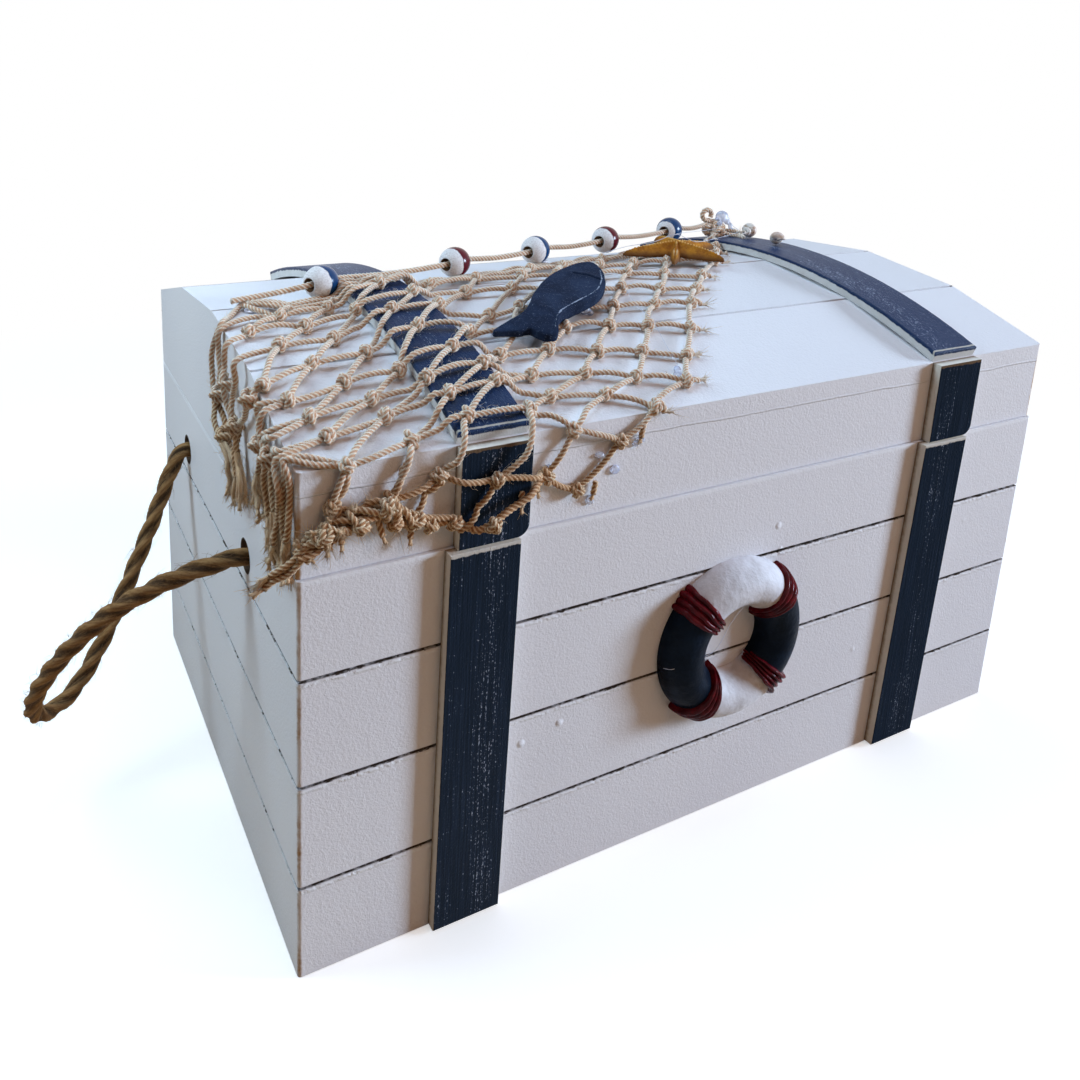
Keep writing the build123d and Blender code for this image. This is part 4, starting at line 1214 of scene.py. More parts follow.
for x, z, off in stubs:
    root = rim_point(x, z + 4.0, max(off - 2.0, 2.0))
    tip = rim_point(x + chance.uniform(-1, 1), z, off)
    net.cord(soft_line([root, (root + tip) / 2, tip]), NET_CORD, NET_LAY)
    frayed_end(net, tip, tip - root, 2.0 * MM, 0.3)
fishing_net = net.make("fishing_net_cords", cotton)
stands_for(fishing_net, "fishing_net", "lid")

# %% [markdown]
# ## Beads on their cord
#
# Five turned wooden beads hang on a cord along the net's back edge. Each was dipped: most of it is matt
# white, and the end that points right is glossy blue or red, in turn. Each bead is turned again here, round
# outside with a wide mouth to its bore, and stands a little askew on the cord. Every point keeps how far
# along the bead it lies, and that decides its colour. No two beads were dipped equally deep.

# %% Bead paint
BEAD_LINE = Vector((1, 0.2229, 0)).normalized()
BEAD_AXIS = Matrix.Rotation(math.radians(16), 3, "Z") @ BEAD_LINE
BEAD_HALF, BEAD_HALF_LONG, BEAD_BORE, BEAD_MOUTH = 5.8 * MM, 6.35 * MM, 1.95 * MM, 2.45 * MM
BEAD_DIP_LATE = (0.16, 0.02, 0.14, -0.10, -0.30)
DIP_START, DIP_SOFT = -0.30, 0.03


def bead_paint(name, dip):
    f = Finish(name, rough=0.55, shine=0.20)
    ragged = f.noise(420, 2) * 0.16 - 0.08
    dipped = (f.mark("along") + ragged).ease(DIP_START - DIP_SOFT, DIP_START + DIP_SOFT)
    chalk = f.blend(f.noise(1600, 3, 0.7).ease(0.35, 0.75), (0.88, 0.845, 0.83), (0.66, 0.60, 0.59))
    f.colour(f.blend(f.mark("bore"), f.blend(dipped, chalk, dip), (0.150, 0.075, 0.032)))
    f.rough(dipped * -0.40 + 0.58)
    f.bump(f.noise(1500, 2, 0.6) * dipped.ease(1.0, 0.0), 0.12 * MM, 0.9)
    return f.material


def turned_bead(name, middle, material, dip_late):
    """A bead turned on the lathe: round outside, a bore through it, and a soft lip where they meet."""
    mouth = math.asin(BEAD_MOUTH / BEAD_HALF)
    wall = [(-BEAD_HALF_LONG * math.cos(angle), BEAD_HALF * math.sin(angle), 0.0)
            for angle in np.linspace(mouth, math.pi - mouth, 33)]
    last = wall[-1][0]
    wall += [(last - 0.15 * MM, BEAD_MOUTH * 0.97, 1.0), (last - 1.6 * MM, BEAD_BORE, 1.0),
             (0.0, BEAD_BORE * 0.95, 1.0), (1.6 * MM - last, BEAD_BORE, 1.0),
             (0.15 * MM - last, BEAD_MOUTH * 0.97, 1.0)]
    around = 48
    up = Vector((0, 0, 1))
    across = BEAD_AXIS.cross(up)
    points = [middle + BEAD_AXIS * place + wound_round(across, up, CIRCLE * step / around) * radius
              for place, radius, _ in wall for step in range(around)]
    along = np.repeat([place / BEAD_HALF_LONG - dip_late for place, _, _ in wall], around)
    bore = np.repeat([dark for _, _, dark in wall], around)
    return smooth_piece(name, points, net_of_faces(len(wall), around, loop=True), material, along=along, bore=bore)


blue = bead_paint("bead_white_and_blue", (0.004, 0.040, 0.130))
red = bead_paint("bead_white_and_red", (0.100, 0.003, 0.012))
bead_middles = []
for number, dip_late in enumerate(BEAD_DIP_LATE, 1):
    low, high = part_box("bead_%d" % number)
    bead_middles.append((low + high) / 2)
    paint, slot = (blue, "bead_blue") if number % 2 else (red, "bead_red")
    bead = turned_bead("turned_bead_%d" % number, bead_middles[-1], paint, dip_late)
    stands_for(bead, "bead_%d" % number, "lid")
print(len(bead_middles), "beads")

# %% The bead cord
BEAD_REACH = BEAD_AXIS * 5.5 * MM
cord_start = Vector((-144 * MM, -1 * MM, CROWN + 3 * MM))
tie_place = bead_middles[0] + BEAD_LINE * (97 * MM - bead_middles[0].x) / BEAD_LINE.x
line = [cord_start, cord_start.lerp(bead_middles[0], 0.5) + Vector((0, 0, -0.4 * MM))]
for here, after in zip(bead_middles, [*bead_middles[1:], tie_place]):
    line += [here - BEAD_REACH, here + BEAD_REACH, (here + after) / 2 + Vector((0, 0, -0.8 * MM))]
line.append(tie_place - BEAD_LINE * 4 * MM)
bead_cord = Cordage()
bead_cord.cord(soft_line(line), 1.2 * MM, NET_LAY)
stands_for(bead_cord.make("bead_string", cotton), "bead_cord", "lid")

# %% [markdown]
# ## The knot and the shells
#
# The bead cord ends in a clumsy bundle of knots, held by a dab of hot glue, with one stiff end curling up.
# Beside it on the strap lie two little pale shells. The bundle is wound from the same laid cord, and each
# shell is a whorl that shrinks as it turns.

# %% Tie knot
tie = Cordage()
tie_low, tie_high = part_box("tie_knot")
tie_middle = (tie_low + tie_high) / 2
TIE_CORD = 1.15 * MM


def beside(middle, spots):
    """Places given in millimetres from a middle."""
    return [middle + Vector(spot) * MM for spot in spots]


def wound(middle, radii, turns, tilt, phase):
    """A loose ball of cord: a ring whose axis keeps turning."""
    wide, deep, high = radii
    points = []
    for share in np.linspace(0, 1, 70):
        angle = CIRCLE * turns * share + phase
        spot = (wide * math.cos(angle), deep * 0.35 * math.sin(2 * angle), high * math.sin(angle))
        points.append(middle + Quaternion((0, 0, 1), tilt * share + phase) @ Vector(spot) * MM)
    return points


# each winding's place, radii, turns, tilt and phase
bundle = [
    ((1.0, 0.0, -1.6), (3.4, 3.2, 2.6), 2.2, 2.4, 0.3), ((-3.4, -2.2, -2.4), (2.6, 2.8, 2.1), 1.6, 1.8, 1.9),
    ((4.4, 0.6, -2.4), (2.6, 2.6, 2.1), 1.8, 2.0, 4.1), ((0.4, -4.6, -3.2), (2.6, 2.2, 1.8), 1.4, 1.6, 2.7),
]
curl = [(1.5, 0, -1), (-0.6, 0.4, 1.2), (-3.6, 0.6, 1.6), (-5.6, 0.6, 3.0), (-6.0, 0.6, 5.0), (-4.6, 0.4, 6.6),
        (-2.4, 0.2, 6.6), (-1.1, 0.0, 5.0), (-1.6, 0.0, 3.2)]
leads = [
    [(-8, -1.8, -0.6), (-4, -1.5, -1.4), (0, -2, -1.8)], [(2, -4, -3.0), (5, -7, -4.2), (7, -11, -4.0), (6, -15, -3.9)],
    [(-2, -5, -3.5), (-6, -8, -4.8), (-11, -10, -5.4), (-15, -14, -5.3)],
    [(4, 1, -2.5), (7.5, -1, -3.5), (10, -4, -3.4), (10.5, -7, -3.2)],
    [(-1, -3, -3.0), (-4, -6, -4.4), (-7, -11, -5.2), (-8, -16, -5.2)],
]
for shift, radii, turns, tilt, phase in bundle:
    winding = soft_line(wound(tie_middle + Vector(shift) * MM, radii, turns, tilt, phase))
    tie.cord(winding, TIE_CORD, NET_LAY)
    tie.fuzz(winding, TIE_CORD, 0.3 * MM, 1.8 * MM)
tie.cord(soft_line(beside(tie_middle, curl)), TIE_CORD * 1.15, NET_LAY)
for lead in leads:
    line = soft_line(beside(tie_middle, lead))
    tie.cord(line, TIE_CORD, NET_LAY)
    tie.fuzz(line, TIE_CORD, 0.9 * MM, 1.6 * MM)
    frayed_end(tie, line[-1], line[-1] - line[-6], 3 * MM, 0.4)
stands_for(tie.make("tie_knot_cords", cotton), "tie_knot", "lid")

# %% Shells


def shell_finish():
    f = Finish("shell", rough=0.38)
    bands = f.noise(1, 3, 0.6, f.stretched((260, 260, 700)))
    colour = f.blend(bands.ease(0.42, 0.66), (0.80, 0.74, 0.68), (0.52, 0.36, 0.25))
    f.colour(f.blend(f.noise(150, 2).ease(0.50, 0.66) * 0.6, colour, (0.70, 0.46, 0.36)))
    f.bump(bands, 0.12 * MM, 0.7)
    return f.material


def whorl(middle, sizes, turn, coils=3.4):
    """A shell's middle line and its shrinking width: it winds up to a point."""
    long, wide, high = sizes
    share = np.linspace(0, 1, 110)
    shrink = (1 - share) ** 1.25
    angle = CIRCLE * coils * share
    spots = [long * (0.95 - 1.75 * (1 - shrink)), wide * 0.52 * shrink * np.cos(angle),
             high * 0.52 * shrink * np.sin(angle)]
    spin = Quaternion((0, 0, 1), turn)
    return np.array([middle + spin @ Vector(spot) for spot in zip(*spots)]), np.maximum(shrink, 0.06)


shell_coils = Cordage()
for (x, y), sizes, turn in (((101.5, 30.5), (6.0, 4.2, 3.6), 0.5), ((103.5, 12.0), (5.2, 3.8, 3.4), 3.9)):
    long, wide, high = sizes = [value * MM for value in sizes]
    middle = Vector((x * MM, y * MM, arch_height(y * MM) + STRAP_PROUD + high * 0.93))
    line, thin = whorl(middle, sizes, turn)
    shell_coils.thread(line, 14, 0.0, high * 0.56, thin)
stands_for(shell_coils.make("small_shells", shell_finish()), "shells", "lid")

# %% [markdown]
# ## The life ring
#
# A cast resin ring: white above and below, navy at the sides, with four strips of dark red wrapped round it.
# Its round shape comes from the construction model. The colour follows the angle round the ring's middle.
# The strips are proud, ribbed and wavy at their edges, so they are modelled: a sheet bent over the ring whose
# ribs wander a little.

# %% Ring paint
ring_low, ring_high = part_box("life_ring")
RING_MIDDLE = Vector(((ring_low.x + ring_high.x) / 2, ring_high.y, (ring_low.z + ring_high.z) / 2))
RING_OUTER, RING_INNER = (ring_high.x - ring_low.x) / 2, 12.5 * MM
RING_PROUD = ring_high.y - ring_low.y
TUBE_MIDDLE, TUBE_HALF = (RING_OUTER + RING_INNER) / 2, (RING_OUTER - RING_INNER) / 2


def ring_finish():
    f = Finish("ring_paint", rough=0.36, shine=0.04)
    x, _, z = f.axes(f.place)
    # the bands lie near the diagonals, so the sides are where the point is further across than above
    lean = abs(x - RING_MIDDLE.x) - abs(z - RING_MIDDLE.z) * 1.05
    cloud = f.noise(120, 4, 0.6)
    grime = f.cells(330).ease(0.09, 0.04) * f.noise(60).ease(0.52, 0.60)
    white = f.blend(cloud.ease(0.40, 0.72), (0.78, 0.78, 0.83), (0.60, 0.585, 0.61))
    white = f.blend(grime * 0.6, white, (0.22, 0.18, 0.14))
    navy = f.blend(cloud.ease(0.4, 0.75), (0.0022, 0.0050, 0.0110), (0.0080, 0.0160, 0.0320))
    f.colour(f.blend(lean.ease(-0.3 * MM, 0.3 * MM), white, navy))
    f.rough(f.noise(90).ease(0.3, 0.7, 0.26, 0.46))
    f.bump(f.noise(900, 2) * 0.25 + f.noise(210), 0.55 * MM, 0.8)
    return f.material


painted(bpy.data.objects["life_ring"], ring_finish())
print("ring %.1f mm across, %.1f mm proud" % (2 * RING_OUTER / MM, RING_PROUD / MM))

# %% The ring's bands
BAND_ANGLES = (42, 137, 232, 313)
BAND_HALF, BAND_RIBS = 9.5, 4
BAND_ROWS, BAND_COLUMNS = 60, 44


def band_finish():
    f = Finish("ring_band_paint", rough=0.13, shine=0.07)
    f.colour(f.blend(f.noise(260, 3, 0.6).ease(0.35, 0.75), (0.060, 0.0020, 0.005), (0.170, 0.006, 0.013)))
    f.bump(f.noise(620, 2), 0.14 * MM, 0.6)
    return f.material


def ribbed_band(angle, seed):
    """One strip over the ring: ribs run over the tube side by side, and stop in ragged ends inside the ring."""
    wander = np.random.default_rng(seed)
    heights = wander.uniform(0.75, 1.15, BAND_RIBS)
    phases = wander.uniform(0, 6.28, BAND_RIBS)
    stops = wander.uniform(0.90, 1.0, BAND_RIBS)
    points = []
    for share in np.linspace(0, 1, BAND_ROWS):
        for through in np.linspace(0, 1, BAND_COLUMNS):
            slide = 0.035 * math.sin(3 * through * math.pi + seed) + 0.015 * math.sin(8 * through * math.pi + 2 * seed)
            place = min(max(share + slide * math.sin(math.pi * share), 0.0), 0.9999) * BAND_RIBS
            rib = int(place)
            bow = math.sin(math.pi * (place - rib))
            over = math.pi * through * stops[rib]
            swell = heights[rib] * (1 + 0.14 * math.sin(7 * through + phases[rib]))
            proud = (0.35 + 1.35 * swell * bow ** 0.55) * MM if 0 < share < 1 else -0.4 * MM
            edge = 1 + 0.04 * math.sin(5 * over + phases[0]) + 0.03 * math.sin(11 * over + seed)
            turn = math.radians(angle + (share - 0.5) * 2 * BAND_HALF * edge)
            away = TUBE_MIDDLE + math.cos(over) * (TUBE_HALF + proud)
            off = math.sin(over) * (RING_PROUD + proud)
            points.append(RING_MIDDLE + Vector((away * math.cos(turn), -off, away * math.sin(turn))))
    return points, net_of_faces(BAND_ROWS, BAND_COLUMNS, wrap=False)


bands = joined([ribbed_band(angle, 11 + number) for number, angle in enumerate(BAND_ANGLES)])
ring_bands = smooth_piece("ring_bands", *bands, band_finish())
stands_for(ring_bands, "life_ring_bands", "box")
print("bands: %d points" % len(bands[0]))

# %% [markdown]
# ## The carved fish
#
# A flat fish sawn from thin wood, with its edges rounded by hand, a saw cut for its mouth, and dull navy
# paint rubbed pale along the lower edge. The outline is drawn as a smooth closed line. The block is cut from
# it, rebuilt in small even voxels and smoothed, which rounds the edges as a scrap of sandpaper does.

# %% Fish paint, and how a form is rebuilt


def fish_finish():
    f = Finish("fish_paint", rough=0.75, shine=0.05)
    grain = f.noise(1, 3, 0.6, f.stretched((240, 600, 600), turn=(0, 0, -0.8)))
    navy = f.blend(f.noise(70).ease(0.35, 0.70), (0.0070, 0.0125, 0.0300), (0.0165, 0.0280, 0.0600))
    navy = f.blend(f.noise(700, 3, 0.7).ease(0.50, 0.72) * 0.22, navy, (0.070, 0.100, 0.175))
    broken = f.noise(240, 2) * 0.7 + f.noise(1300, 3, 0.7) * 0.8
    scuff = (broken + f.mark("worn")).ease(1.58, 1.76)
    dust = f.noise(2300, 2, 0.7).ease(0.655, 0.72)
    f.colour(f.blend((scuff * 0.8).at_least(dust * 0.45), navy, (0.36, 0.41, 0.52)))
    f.bump(f.noise(1500, 2, 0.6) * 0.5 + grain, 0.14 * MM, 0.8)
    return f.material


def rebuilt(name, points, faces, voxel, smooth_steps):
    """A closed form, or several that overlap, rebuilt as one skin of small voxels and smoothed."""
    mesh = bpy.data.meshes.new(name)
    mesh.from_pydata(points, [], faces)
    block = linked(name, mesh)
    remesh = block.modifiers.new("remesh", "REMESH")
    remesh.mode, remesh.voxel_size = "VOXEL", voxel
    soften = block.modifiers.new("soften", "SMOOTH")
    soften.factor, soften.iterations = 0.5, smooth_steps
    ready = bpy.data.meshes.new_from_object(block.evaluated_get(bpy.context.evaluated_depsgraph_get()))
    block.modifiers.clear()
    block.data = ready
    bpy.data.meshes.remove(mesh)
    ready.name = name
    ready.shade_smooth()
    return block


# %% The fish's outline
FISH_TILT, FISH_TURN = math.radians(10), math.radians(38)
FISH_LIFT, FISH_THICK = 3.6 * MM, 5.0 * MM
FISH_TAIL = Vector((-62.0, -6.0))
FISH_ALONG = Vector((math.cos(FISH_TURN), math.sin(FISH_TURN)))
TAIL_THINNER, TAIL_THICK_FROM = 0.5, 14
# along the fish and across it, in millimetres
fish_outline = [
    (-8.1, 9.4), (-5.1, 9.1), (1.35, 7.6), (7.2, 6.2), (13.2, 6.5), (20.6, 8.3), (27.5, 9.4), (36.4, 10.2), (44.8, 9.8),
    (51.8, 8.5), (58.2, 6.6), (62.3, 4.1), (63.5, 1.5), (61.1, -1.9), (57.1, -5.0), (50.8, -7.9), (46.8, -9.3),
    (40.5, -9.9), (34.9, -9.5), (27.9, -8.0), (21.1, -6.5), (16.1, -5.4), (12.1, -5.6), (7.4, -7.1), (2.8, -8.9),
    (0.2, -8.0), (-1.0, -6.0), (-0.7, -3.1), (0.0, 0.0), (-3.0, 1.6), (-4.9, 4.2), (-7.0, 6.8), (-8.4, 8.4),
]
fish_mouth = [(47.6, 3.6), (48.6, 0.6), (49.4, -2.0), (48.9, -4.7), (48.7, -6.6)]
fish_worn = [(57.5, -3.2), (50.5, -6.4), (45.0, -7.9), (40.2, -8.5), (34.6, -8.0), (28.9, -6.8), (21.5, -5.4),
             (16.2, -4.5), (11.0, -4.8), (7.4, -5.9), (4.6, -7.0)]
fish_xs = [along for along, across in fish_outline]
print("fish %.0f mm long" % (max(fish_xs) - min(fish_xs)))

# %% Lines on a plane


def on_fish(spots):
    """Places on the plane over the lid's front ridge."""
    return [(FISH_TAIL + FISH_ALONG * along + FISH_ALONG.orthogonal() * across) * MM for along, across in spots]


def closed_line(points, step):
    """A smooth closed line through points on a plane."""
    here = np.array(points, float)
    before, after, later = (np.roll(here, shift, axis=0) for shift in (1, -1, -2))
    share = np.linspace(0, 1, 10, endpoint=False)[:, None, None]
    dense = 0.5 * (2 * here + (after - before) * share + (2 * before - 5 * here + 4 * after - later) * share ** 2
                   + (3 * here - before - 3 * after + later) * share ** 3)
    dense = dense.transpose(1, 0, 2).reshape(-1, 2)
    flat = np.zeros((len(dense) + 1, 3))
    flat[:-1, :2], flat[-1, :2] = dense, dense[0]
    return even_steps(flat, step)[:-1, :2]


def away_from(spot, places):
    """Distance from a point on the plane to the nearest of the runs between places."""
    best = 1.0
    for start, end in zip(places, places[1:]):
        run = end - start
        share = min(max((spot - start).dot(run) / run.length_squared, 0.0), 1.0)
        best = min(best, (spot - start - run * share).length)
    return best


# %% Cutting, rounding and rubbing the fish
fish_line = closed_line(on_fish(fish_outline), 0.5 * MM).tolist()
count = len(fish_line)
fish_points = [(x, y, height) for height in (0.0, FISH_THICK) for x, y in fish_line]
fish_faces = [tuple(range(count))[::-1], tuple(range(count, 2 * count)), *net_of_faces(2, count)]
fish = painted(rebuilt("carved_fish", fish_points, fish_faces, 0.42 * MM, 20), fish_finish())
mouth, worn_edge = on_fish(fish_mouth), on_fish(fish_worn)
worn = []
for vertex in fish.data.vertices:
    spot = vertex.co.xy
    if vertex.co.z > FISH_THICK * 0.5:
        away = away_from(spot, mouth)
        vertex.co.z += 0.35 * MM * math.exp(-(away / (2.2 * MM)) ** 2) - 1.5 * MM * max(0.0, 1 - away / (0.8 * MM))
    along = (spot / MM - FISH_TAIL).dot(FISH_ALONG)
    vertex.co.z *= 1 - TAIL_THINNER * min(max((TAIL_THICK_FROM - along) / 20, 0.0), 1.0)
    upper = vertex.co.z > FISH_THICK * 0.45
    worn.append(math.exp(-(away_from(spot, worn_edge) / (0.6 * MM)) ** 2) if upper else 0.0)
keep_marks(fish.data, {"worn": worn})
seat = Matrix.Translation((0, FRONT_RIDGE.y, FRONT_RIDGE.z + FISH_LIFT))
fish.data.transform(seat @ Matrix.Rotation(FISH_TILT, 4, "X"))
stands_for(fish, "wooden_fish", "lid")
print("fish: %d points" % len(fish.data.vertices))

# %% [markdown]
# ## The starfish
#
# A small dried starfish. Each arm is plump, with steep sides, a blunt tip and a row of grains along its back.
# The short arm that faces the room is split along its back like a pod, and shows its pale inside. The arms
# are five closed forms that overlap. Rebuilding them as one skin of small voxels melts them together in the
# middle, as skin does. The grains and wrinkles are then raised on that skin.

# %% The starfish's arms
STAR_SEAT = CROWN + 3.6 * MM
STAR_MIDDLE = Vector((43.5 * MM, 8.5 * MM, STAR_SEAT))
STAR_RADIUS, STAR_HALF_WIDE, STAR_HIGH = 25.0 * MM, 5.6 * MM, 6.4 * MM
STAR_VOXEL = 0.36 * MM
# each arm's direction in degrees, reach and width
star_arms = [(12.0, 1.0, 0.78), (72.0, 1.08, 0.78), (168.0, 0.96, 0.82), (231.0, 0.8, 0.42), (305.0, 0.84, 0.88)]
SPLIT_ARM, SPLIT_FROM = 3, 0.12
star_section = [(-1.0, 0.0), (-1.0, 0.16), (-0.80, 0.34), (-0.52, 0.52), (-0.22, 0.76), (0.0, 1.0),
                (0.22, 0.76), (0.52, 0.52), (0.80, 0.34), (1.0, 0.16), (1.0, 0.0)]
star_profile = [(0.0, 0.80, 1.0), (0.22, 0.90, 0.88), (0.45, 0.84, 0.76), (0.65, 0.68, 0.64), (0.82, 0.48, 0.50),
                (0.93, 0.30, 0.37), (0.985, 0.17, 0.25), (1.0, 0.08, 0.16)]


def star_finish():
    f = Finish("starfish_ochre", rough=0.7, shine=0.22)
    # painted shade: the body darkens towards its seat, on the arms' undersides
    low = f.axes(f.place)[2].ease(STAR_SEAT + 3.4 * MM, STAR_SEAT + 0.6 * MM)
    # the pale grains along each arm's back are real, and are painted brighter as a painted highlight along the ridge
    # tops
    pale = (f.noise(900) * 0.4 + f.mark("ridge")).ease(0.62, 1.15)
    opened = (f.noise(700) * 0.5 + f.mark("inside")).ease(0.60, 1.15)
    body = f.blend(f.noise(260, 4, 0.65).ease(0.35, 0.70), (0.520, 0.205, 0.010), (0.290, 0.095, 0.005))
    body = f.blend(low * 0.9, body, (0.080, 0.026, 0.003))
    body = f.blend(pale * 0.75, body, (0.90, 0.58, 0.20))
    f.colour(f.blend(opened, body, (0.62, 0.46, 0.26)))
    f.bump(f.cells(1150) * 0.5 + f.noise(1400, 3, 0.7), 0.22 * MM, 0.9)
    return f.material


def star_arm(direction, reach, width):
    """Points and faces of one arm, from the starfish's middle to its tip."""
    turn = Matrix.Rotation(math.radians(direction), 3, "Z")
    long, broad = reach * STAR_RADIUS, width * STAR_HALF_WIDE
    points = [turn @ Vector((share * long, across * wide * broad, up * high * STAR_HIGH))
              for share, wide, high in star_profile for across, up in star_section]
    rows, around = len(star_profile), len(star_section)
    root, tip = tuple(range(around)), tuple(range((rows - 1) * around, rows * around))
    return points, [*net_of_faces(rows, around), root[::-1], tip]


arms = joined([star_arm(*arm) for arm in star_arms])
starfish = painted(rebuilt("dried_starfish", *arms, STAR_VOXEL, 1), star_finish())
print(len(star_arms), "arms of %d points" % (len(arms[0]) / len(star_arms)))

# %% The starfish's grains, wrinkles and split
wander = np.random.default_rng(5)
grains_and_ridge_highlight, opened = [], []


def share_of(value):
    return min(max(value, 0.0), 1.0)


for vertex in starfish.data.vertices:
    angle = math.degrees(math.atan2(vertex.co.y, vertex.co.x))
    offs = [(angle - direction + 180) % 360 - 180 for direction, _, _ in star_arms]
    arm = min(range(len(star_arms)), key=lambda number: abs(offs[number]))
    off, radius = math.radians(offs[arm]), vertex.co.xy.length
    along, aside = radius * math.cos(off), radius * math.sin(off)
    share = share_of(along / (star_arms[arm][1] * STAR_RADIUS))
    upper = share_of((vertex.co.z / STAR_HIGH - 0.25) / 0.35)
    ridge = math.exp(-(aside / (0.65 * MM)) ** 2) * upper
    inside = 0.0
    if arm == SPLIT_ARM and share > SPLIT_FROM:
        gaping = share_of((share - SPLIT_FROM) / 0.2)
        vertex.co.z -= 2.2 * MM * math.exp(-(aside / (0.55 * MM)) ** 2) * gaping * upper
        inside = math.exp(-((abs(aside) - 0.9 * MM) / (0.75 * MM)) ** 2) * gaping * upper
        ridge *= 1 - gaping
    grains = 0.5 + 0.5 * math.cos(CIRCLE * along / (1.25 * MM))
    wrinkle = math.sin(CIRCLE * along / (2.1 * MM) + 3 * math.sin(aside / (1.3 * MM))) * (1 - ridge)
    vertex.co.z += (0.50 * ridge * grains + 0.10 * wrinkle * upper + wander.normal(0, 0.04)) * MM
    grains_and_ridge_highlight.append(ridge * (0.45 + 0.55 * grains))
    opened.append(inside)
keep_marks(starfish.data, {"ridge": grains_and_ridge_highlight, "inside": opened})
starfish.data.transform(Matrix.Translation(STAR_MIDDLE))
stands_for(starfish, "starfish", "lid")
print("starfish: %d points" % len(starfish.data.vertices))

# %% [markdown]
# ## Dabs and threads of hot glue
#
# Everything on the lid is held by hot glue. It shows as small milky beads beside the fish, the beads and the
# net, as one larger glassy drop on the knot, and as hair-thin threads that were drawn out when the nozzle was
# lifted. Each dab is a few balls that overlap, rebuilt as one soft skin. It rides on the lid, except for the
# thread over the ring, which stays with the box.

# %% Glue finish and balls


def glue_finish(name, clear):
    f = Finish(name, rough=0.12, shine=0.6)
    f.colour(f.blend(f.noise(420, 2).ease(0.35, 0.7), (0.80, 0.84, 0.95), (0.62, 0.68, 0.86)))
    f.set("Transmission Weight", clear)
    f.bump(f.noise(500, 2), 0.25 * MM, 0.6)
    return f.material


def ball(middle, radii, around=14, rings=9):
    """Points and faces of a ball whose three radii may differ."""
    wide, deep, high = in_metres([radii])[0]
    foot, top = Vector((0, 0, -high)), Vector((0, 0, high))
    points = [middle + foot]
    for tilt in np.arange(1, rings) * math.pi / rings:
        for turn in np.arange(around) * CIRCLE / around:
            out = math.sin(tilt)
            spot = (wide * out * math.cos(turn), deep * out * math.sin(turn), -high * math.cos(tilt))
            points.append(middle + Vector(spot))
    points.append(middle + top)
    last = len(points) - 1
    faces = [(0, 1 + (step + 1) % around, 1 + step) for step in range(around)]
    faces += [tuple(index + 1 for index in face) for face in net_of_faces(rings - 1, around)]
    faces += [(last - around + step, last - around + (step + 1) % around, last) for step in range(around)]
    return points, faces


# %% Dabs of glue
# x, distance down from the crest, lift, then three radii, in millimetres
lid_dabs = [
    (-28.9, 35.0, 1.8, 2.2, 1.9, 1.8), (-30.6, 34.2, 3.2, 1.5, 1.4, 1.4), (-27.3, 36.4, 0.9, 1.4, 1.5, 1.0),
    (-26.2, 33.6, 1.2, 1.2, 1.3, 1.2), (-19.3, 79.6, 0.7, 1.7, 2.4, 0.8), (-18.4, 77.2, 1.3, 1.1, 1.6, 1.2),
    (-20.2, 81.6, 0.9, 1.2, 1.3, 0.9), (-43.5, 101.8, 0.8, 1.8, 1.6, 0.8), (-45.0, 103.0, 0.7, 1.2, 1.2, 0.8),
    (-51.9, 110.1, 0.9, 1.7, 1.0, 1.6), (-60.3, 118.4, 0.9, 1.3, 1.0, 1.7), (-57.9, 104.2, 0.8, 1.6, 1.4, 0.8),
    (-75.4, 105.6, 0.8, 1.5, 1.0, 1.4), (-138.8, 4.5, 0.9, 2.0, 1.5, 1.0), (-137.0, 5.4, 0.8, 1.3, 1.3, 0.9),
    (-69.2, 43.4, 1.0, 1.3, 1.3, 1.0),
]
tie_dabs = [
    ((5.5, 0.0, 3.2), (3.4, 2.8, 2.9)), ((2.8, -0.6, 2.0), (1.8, 1.6, 1.6)), ((8.2, -0.8, 1.2), (1.6, 1.5, 2.0)),
    ((9.6, -2.0, -1.4), (1.1, 1.1, 1.8)), ((10.6, -3.0, -3.4), (1.5, 1.4, 1.2)), ((1.0, -4.2, 1.0), (1.5, 1.3, 1.2)),
]
bead_dabs = [((2.5, -1.0, -4.5), (1.8, 1.4, 1.0)), ((4.2, -1.4, -4.9), (1.3, 1.2, 0.8)),
             ((0.8, -2.2, -4.9), (1.2, 1.2, 0.7))]


def over_lid(spots):
    """Places over the lid, from x, the distance down from the crest and the lift in millimetres."""
    return [lid_point(*spot) for spot in in_metres(spots)]


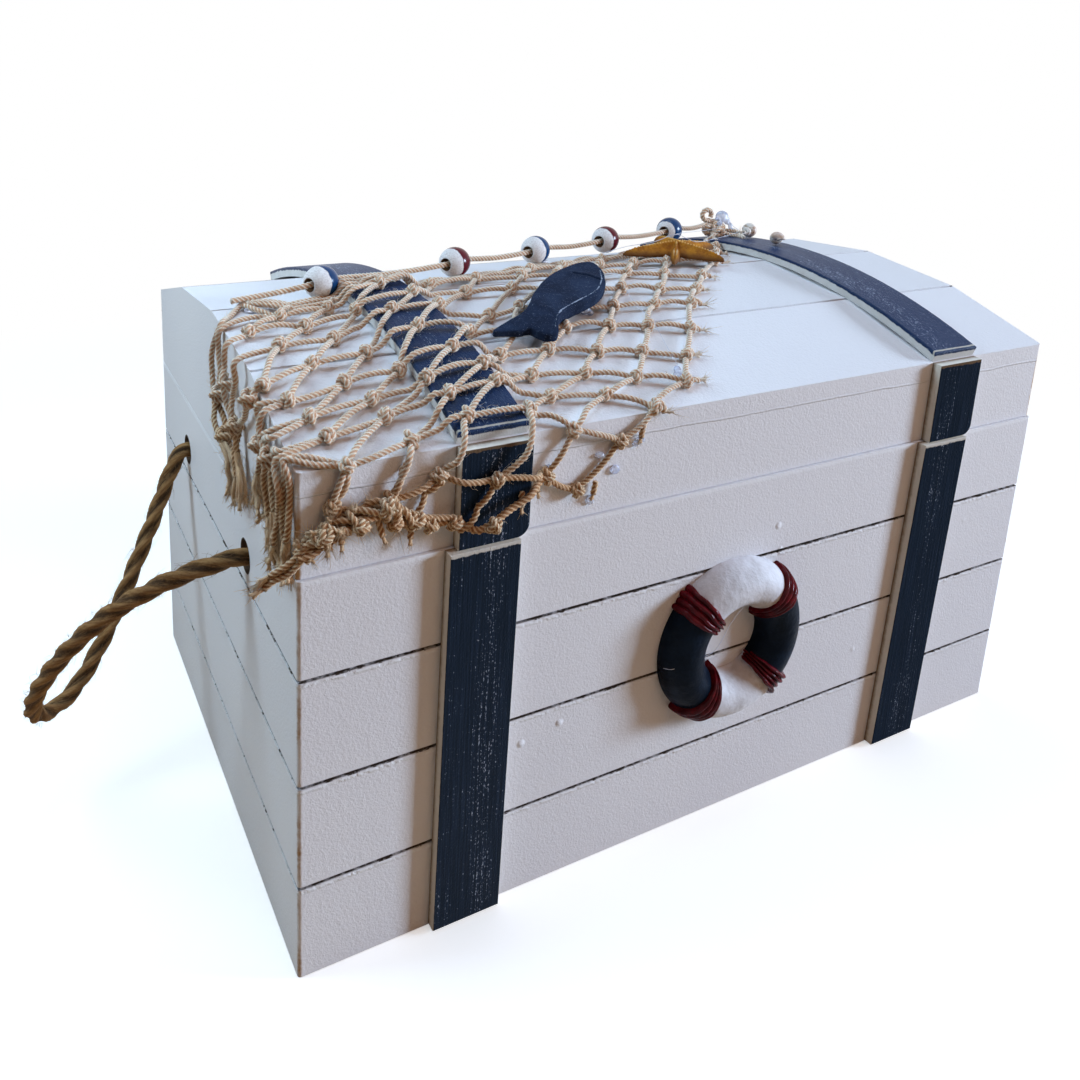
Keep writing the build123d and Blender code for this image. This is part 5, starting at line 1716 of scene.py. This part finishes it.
balls = [ball(place, dab[3:]) for place, dab in zip(over_lid([dab[:3] for dab in lid_dabs]), lid_dabs)]
for middle, dabs in ((tie_middle, tie_dabs), (bead_middles[2], bead_dabs)):
    balls += [ball(middle + Vector(spot) * MM, radii) for spot, radii in dabs]
glue_dabs = painted(rebuilt("glue_dabs", *joined(balls), 0.32 * MM, 3), glue_finish("hot_glue", 0.6))
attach(glue_dabs, "lid")
print("glue: %d dabs, %d points" % (len(balls), len(glue_dabs.data.vertices)))

# %% Glue threads
glue_hair = glue_finish("hot_glue_thread", 0.0)


def glue_threads(name, threads, body):
    """Threads of glue, each with its half thickness in millimetres, that ride on one body."""
    drawn = Cordage()
    for spots, half in threads:
        drawn.thread(soft_line(spots, 0.8 * MM), 4, 0.0, half * MM)
    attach(drawn.make(name, glue_hair), body)


fish_to_net = [(-4.5, 23.7, 4.2), (-9.0, 38.0, 3.0), (-12.5, 52.0, 4.0), (-15.5, 66.0, 2.8), (-18.1, 77.0, 2.2)]
from_knot = [(8.5, -0.8, 2.0), (9.8, -4.0, -1.0), (8.8, -8.5, -3.0)]
over_star = [(14.0, 1.0, 4.6), (7.0, 2.0, 6.2), (0.0, 1.5, 8.4), (-10.0, 3.0, 5.4), (-21.0, 6.5, 3.4),
             (-31.0, 9.0, 0.6)]
second_from_knot = [(3.2, -3.6, 0.6), (-4.0, -6.5, -1.0)]
second_over_star = [(4.0, 3.0, 8.4), (-0.5, 0.5, 8.3)]
over_ring = [(7.0, -98.0, 93.0), (5.0, -99.0, 89.9), (-3.0, -97.5, 79.0), (-9.9, -98.6, 71.2), (-19.0, -98.2, 69.6),
             (-27.6, -99.2, 69.7), (-30.5, -97.6, 69.9)]
glue_threads("glue_threads", [
    (over_lid(fish_to_net), 0.09),
    (beside(tie_middle, from_knot) + beside(STAR_MIDDLE, over_star), 0.12),
    (beside(tie_middle, second_from_knot) + beside(STAR_MIDDLE, second_over_star), 0.10)], "lid")
glue_threads("ring_glue_thread", [(in_metres(over_ring), 0.09)], "box")

# %% The record of sizes
new_low, new_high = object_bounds()
sizes = {"cad": [list(cad_low), list(cad_high)], "visual": [list(new_low), list(new_high)]}
print("visual model %s mm" % [round(value / MM, 1) for value in new_high - new_low])
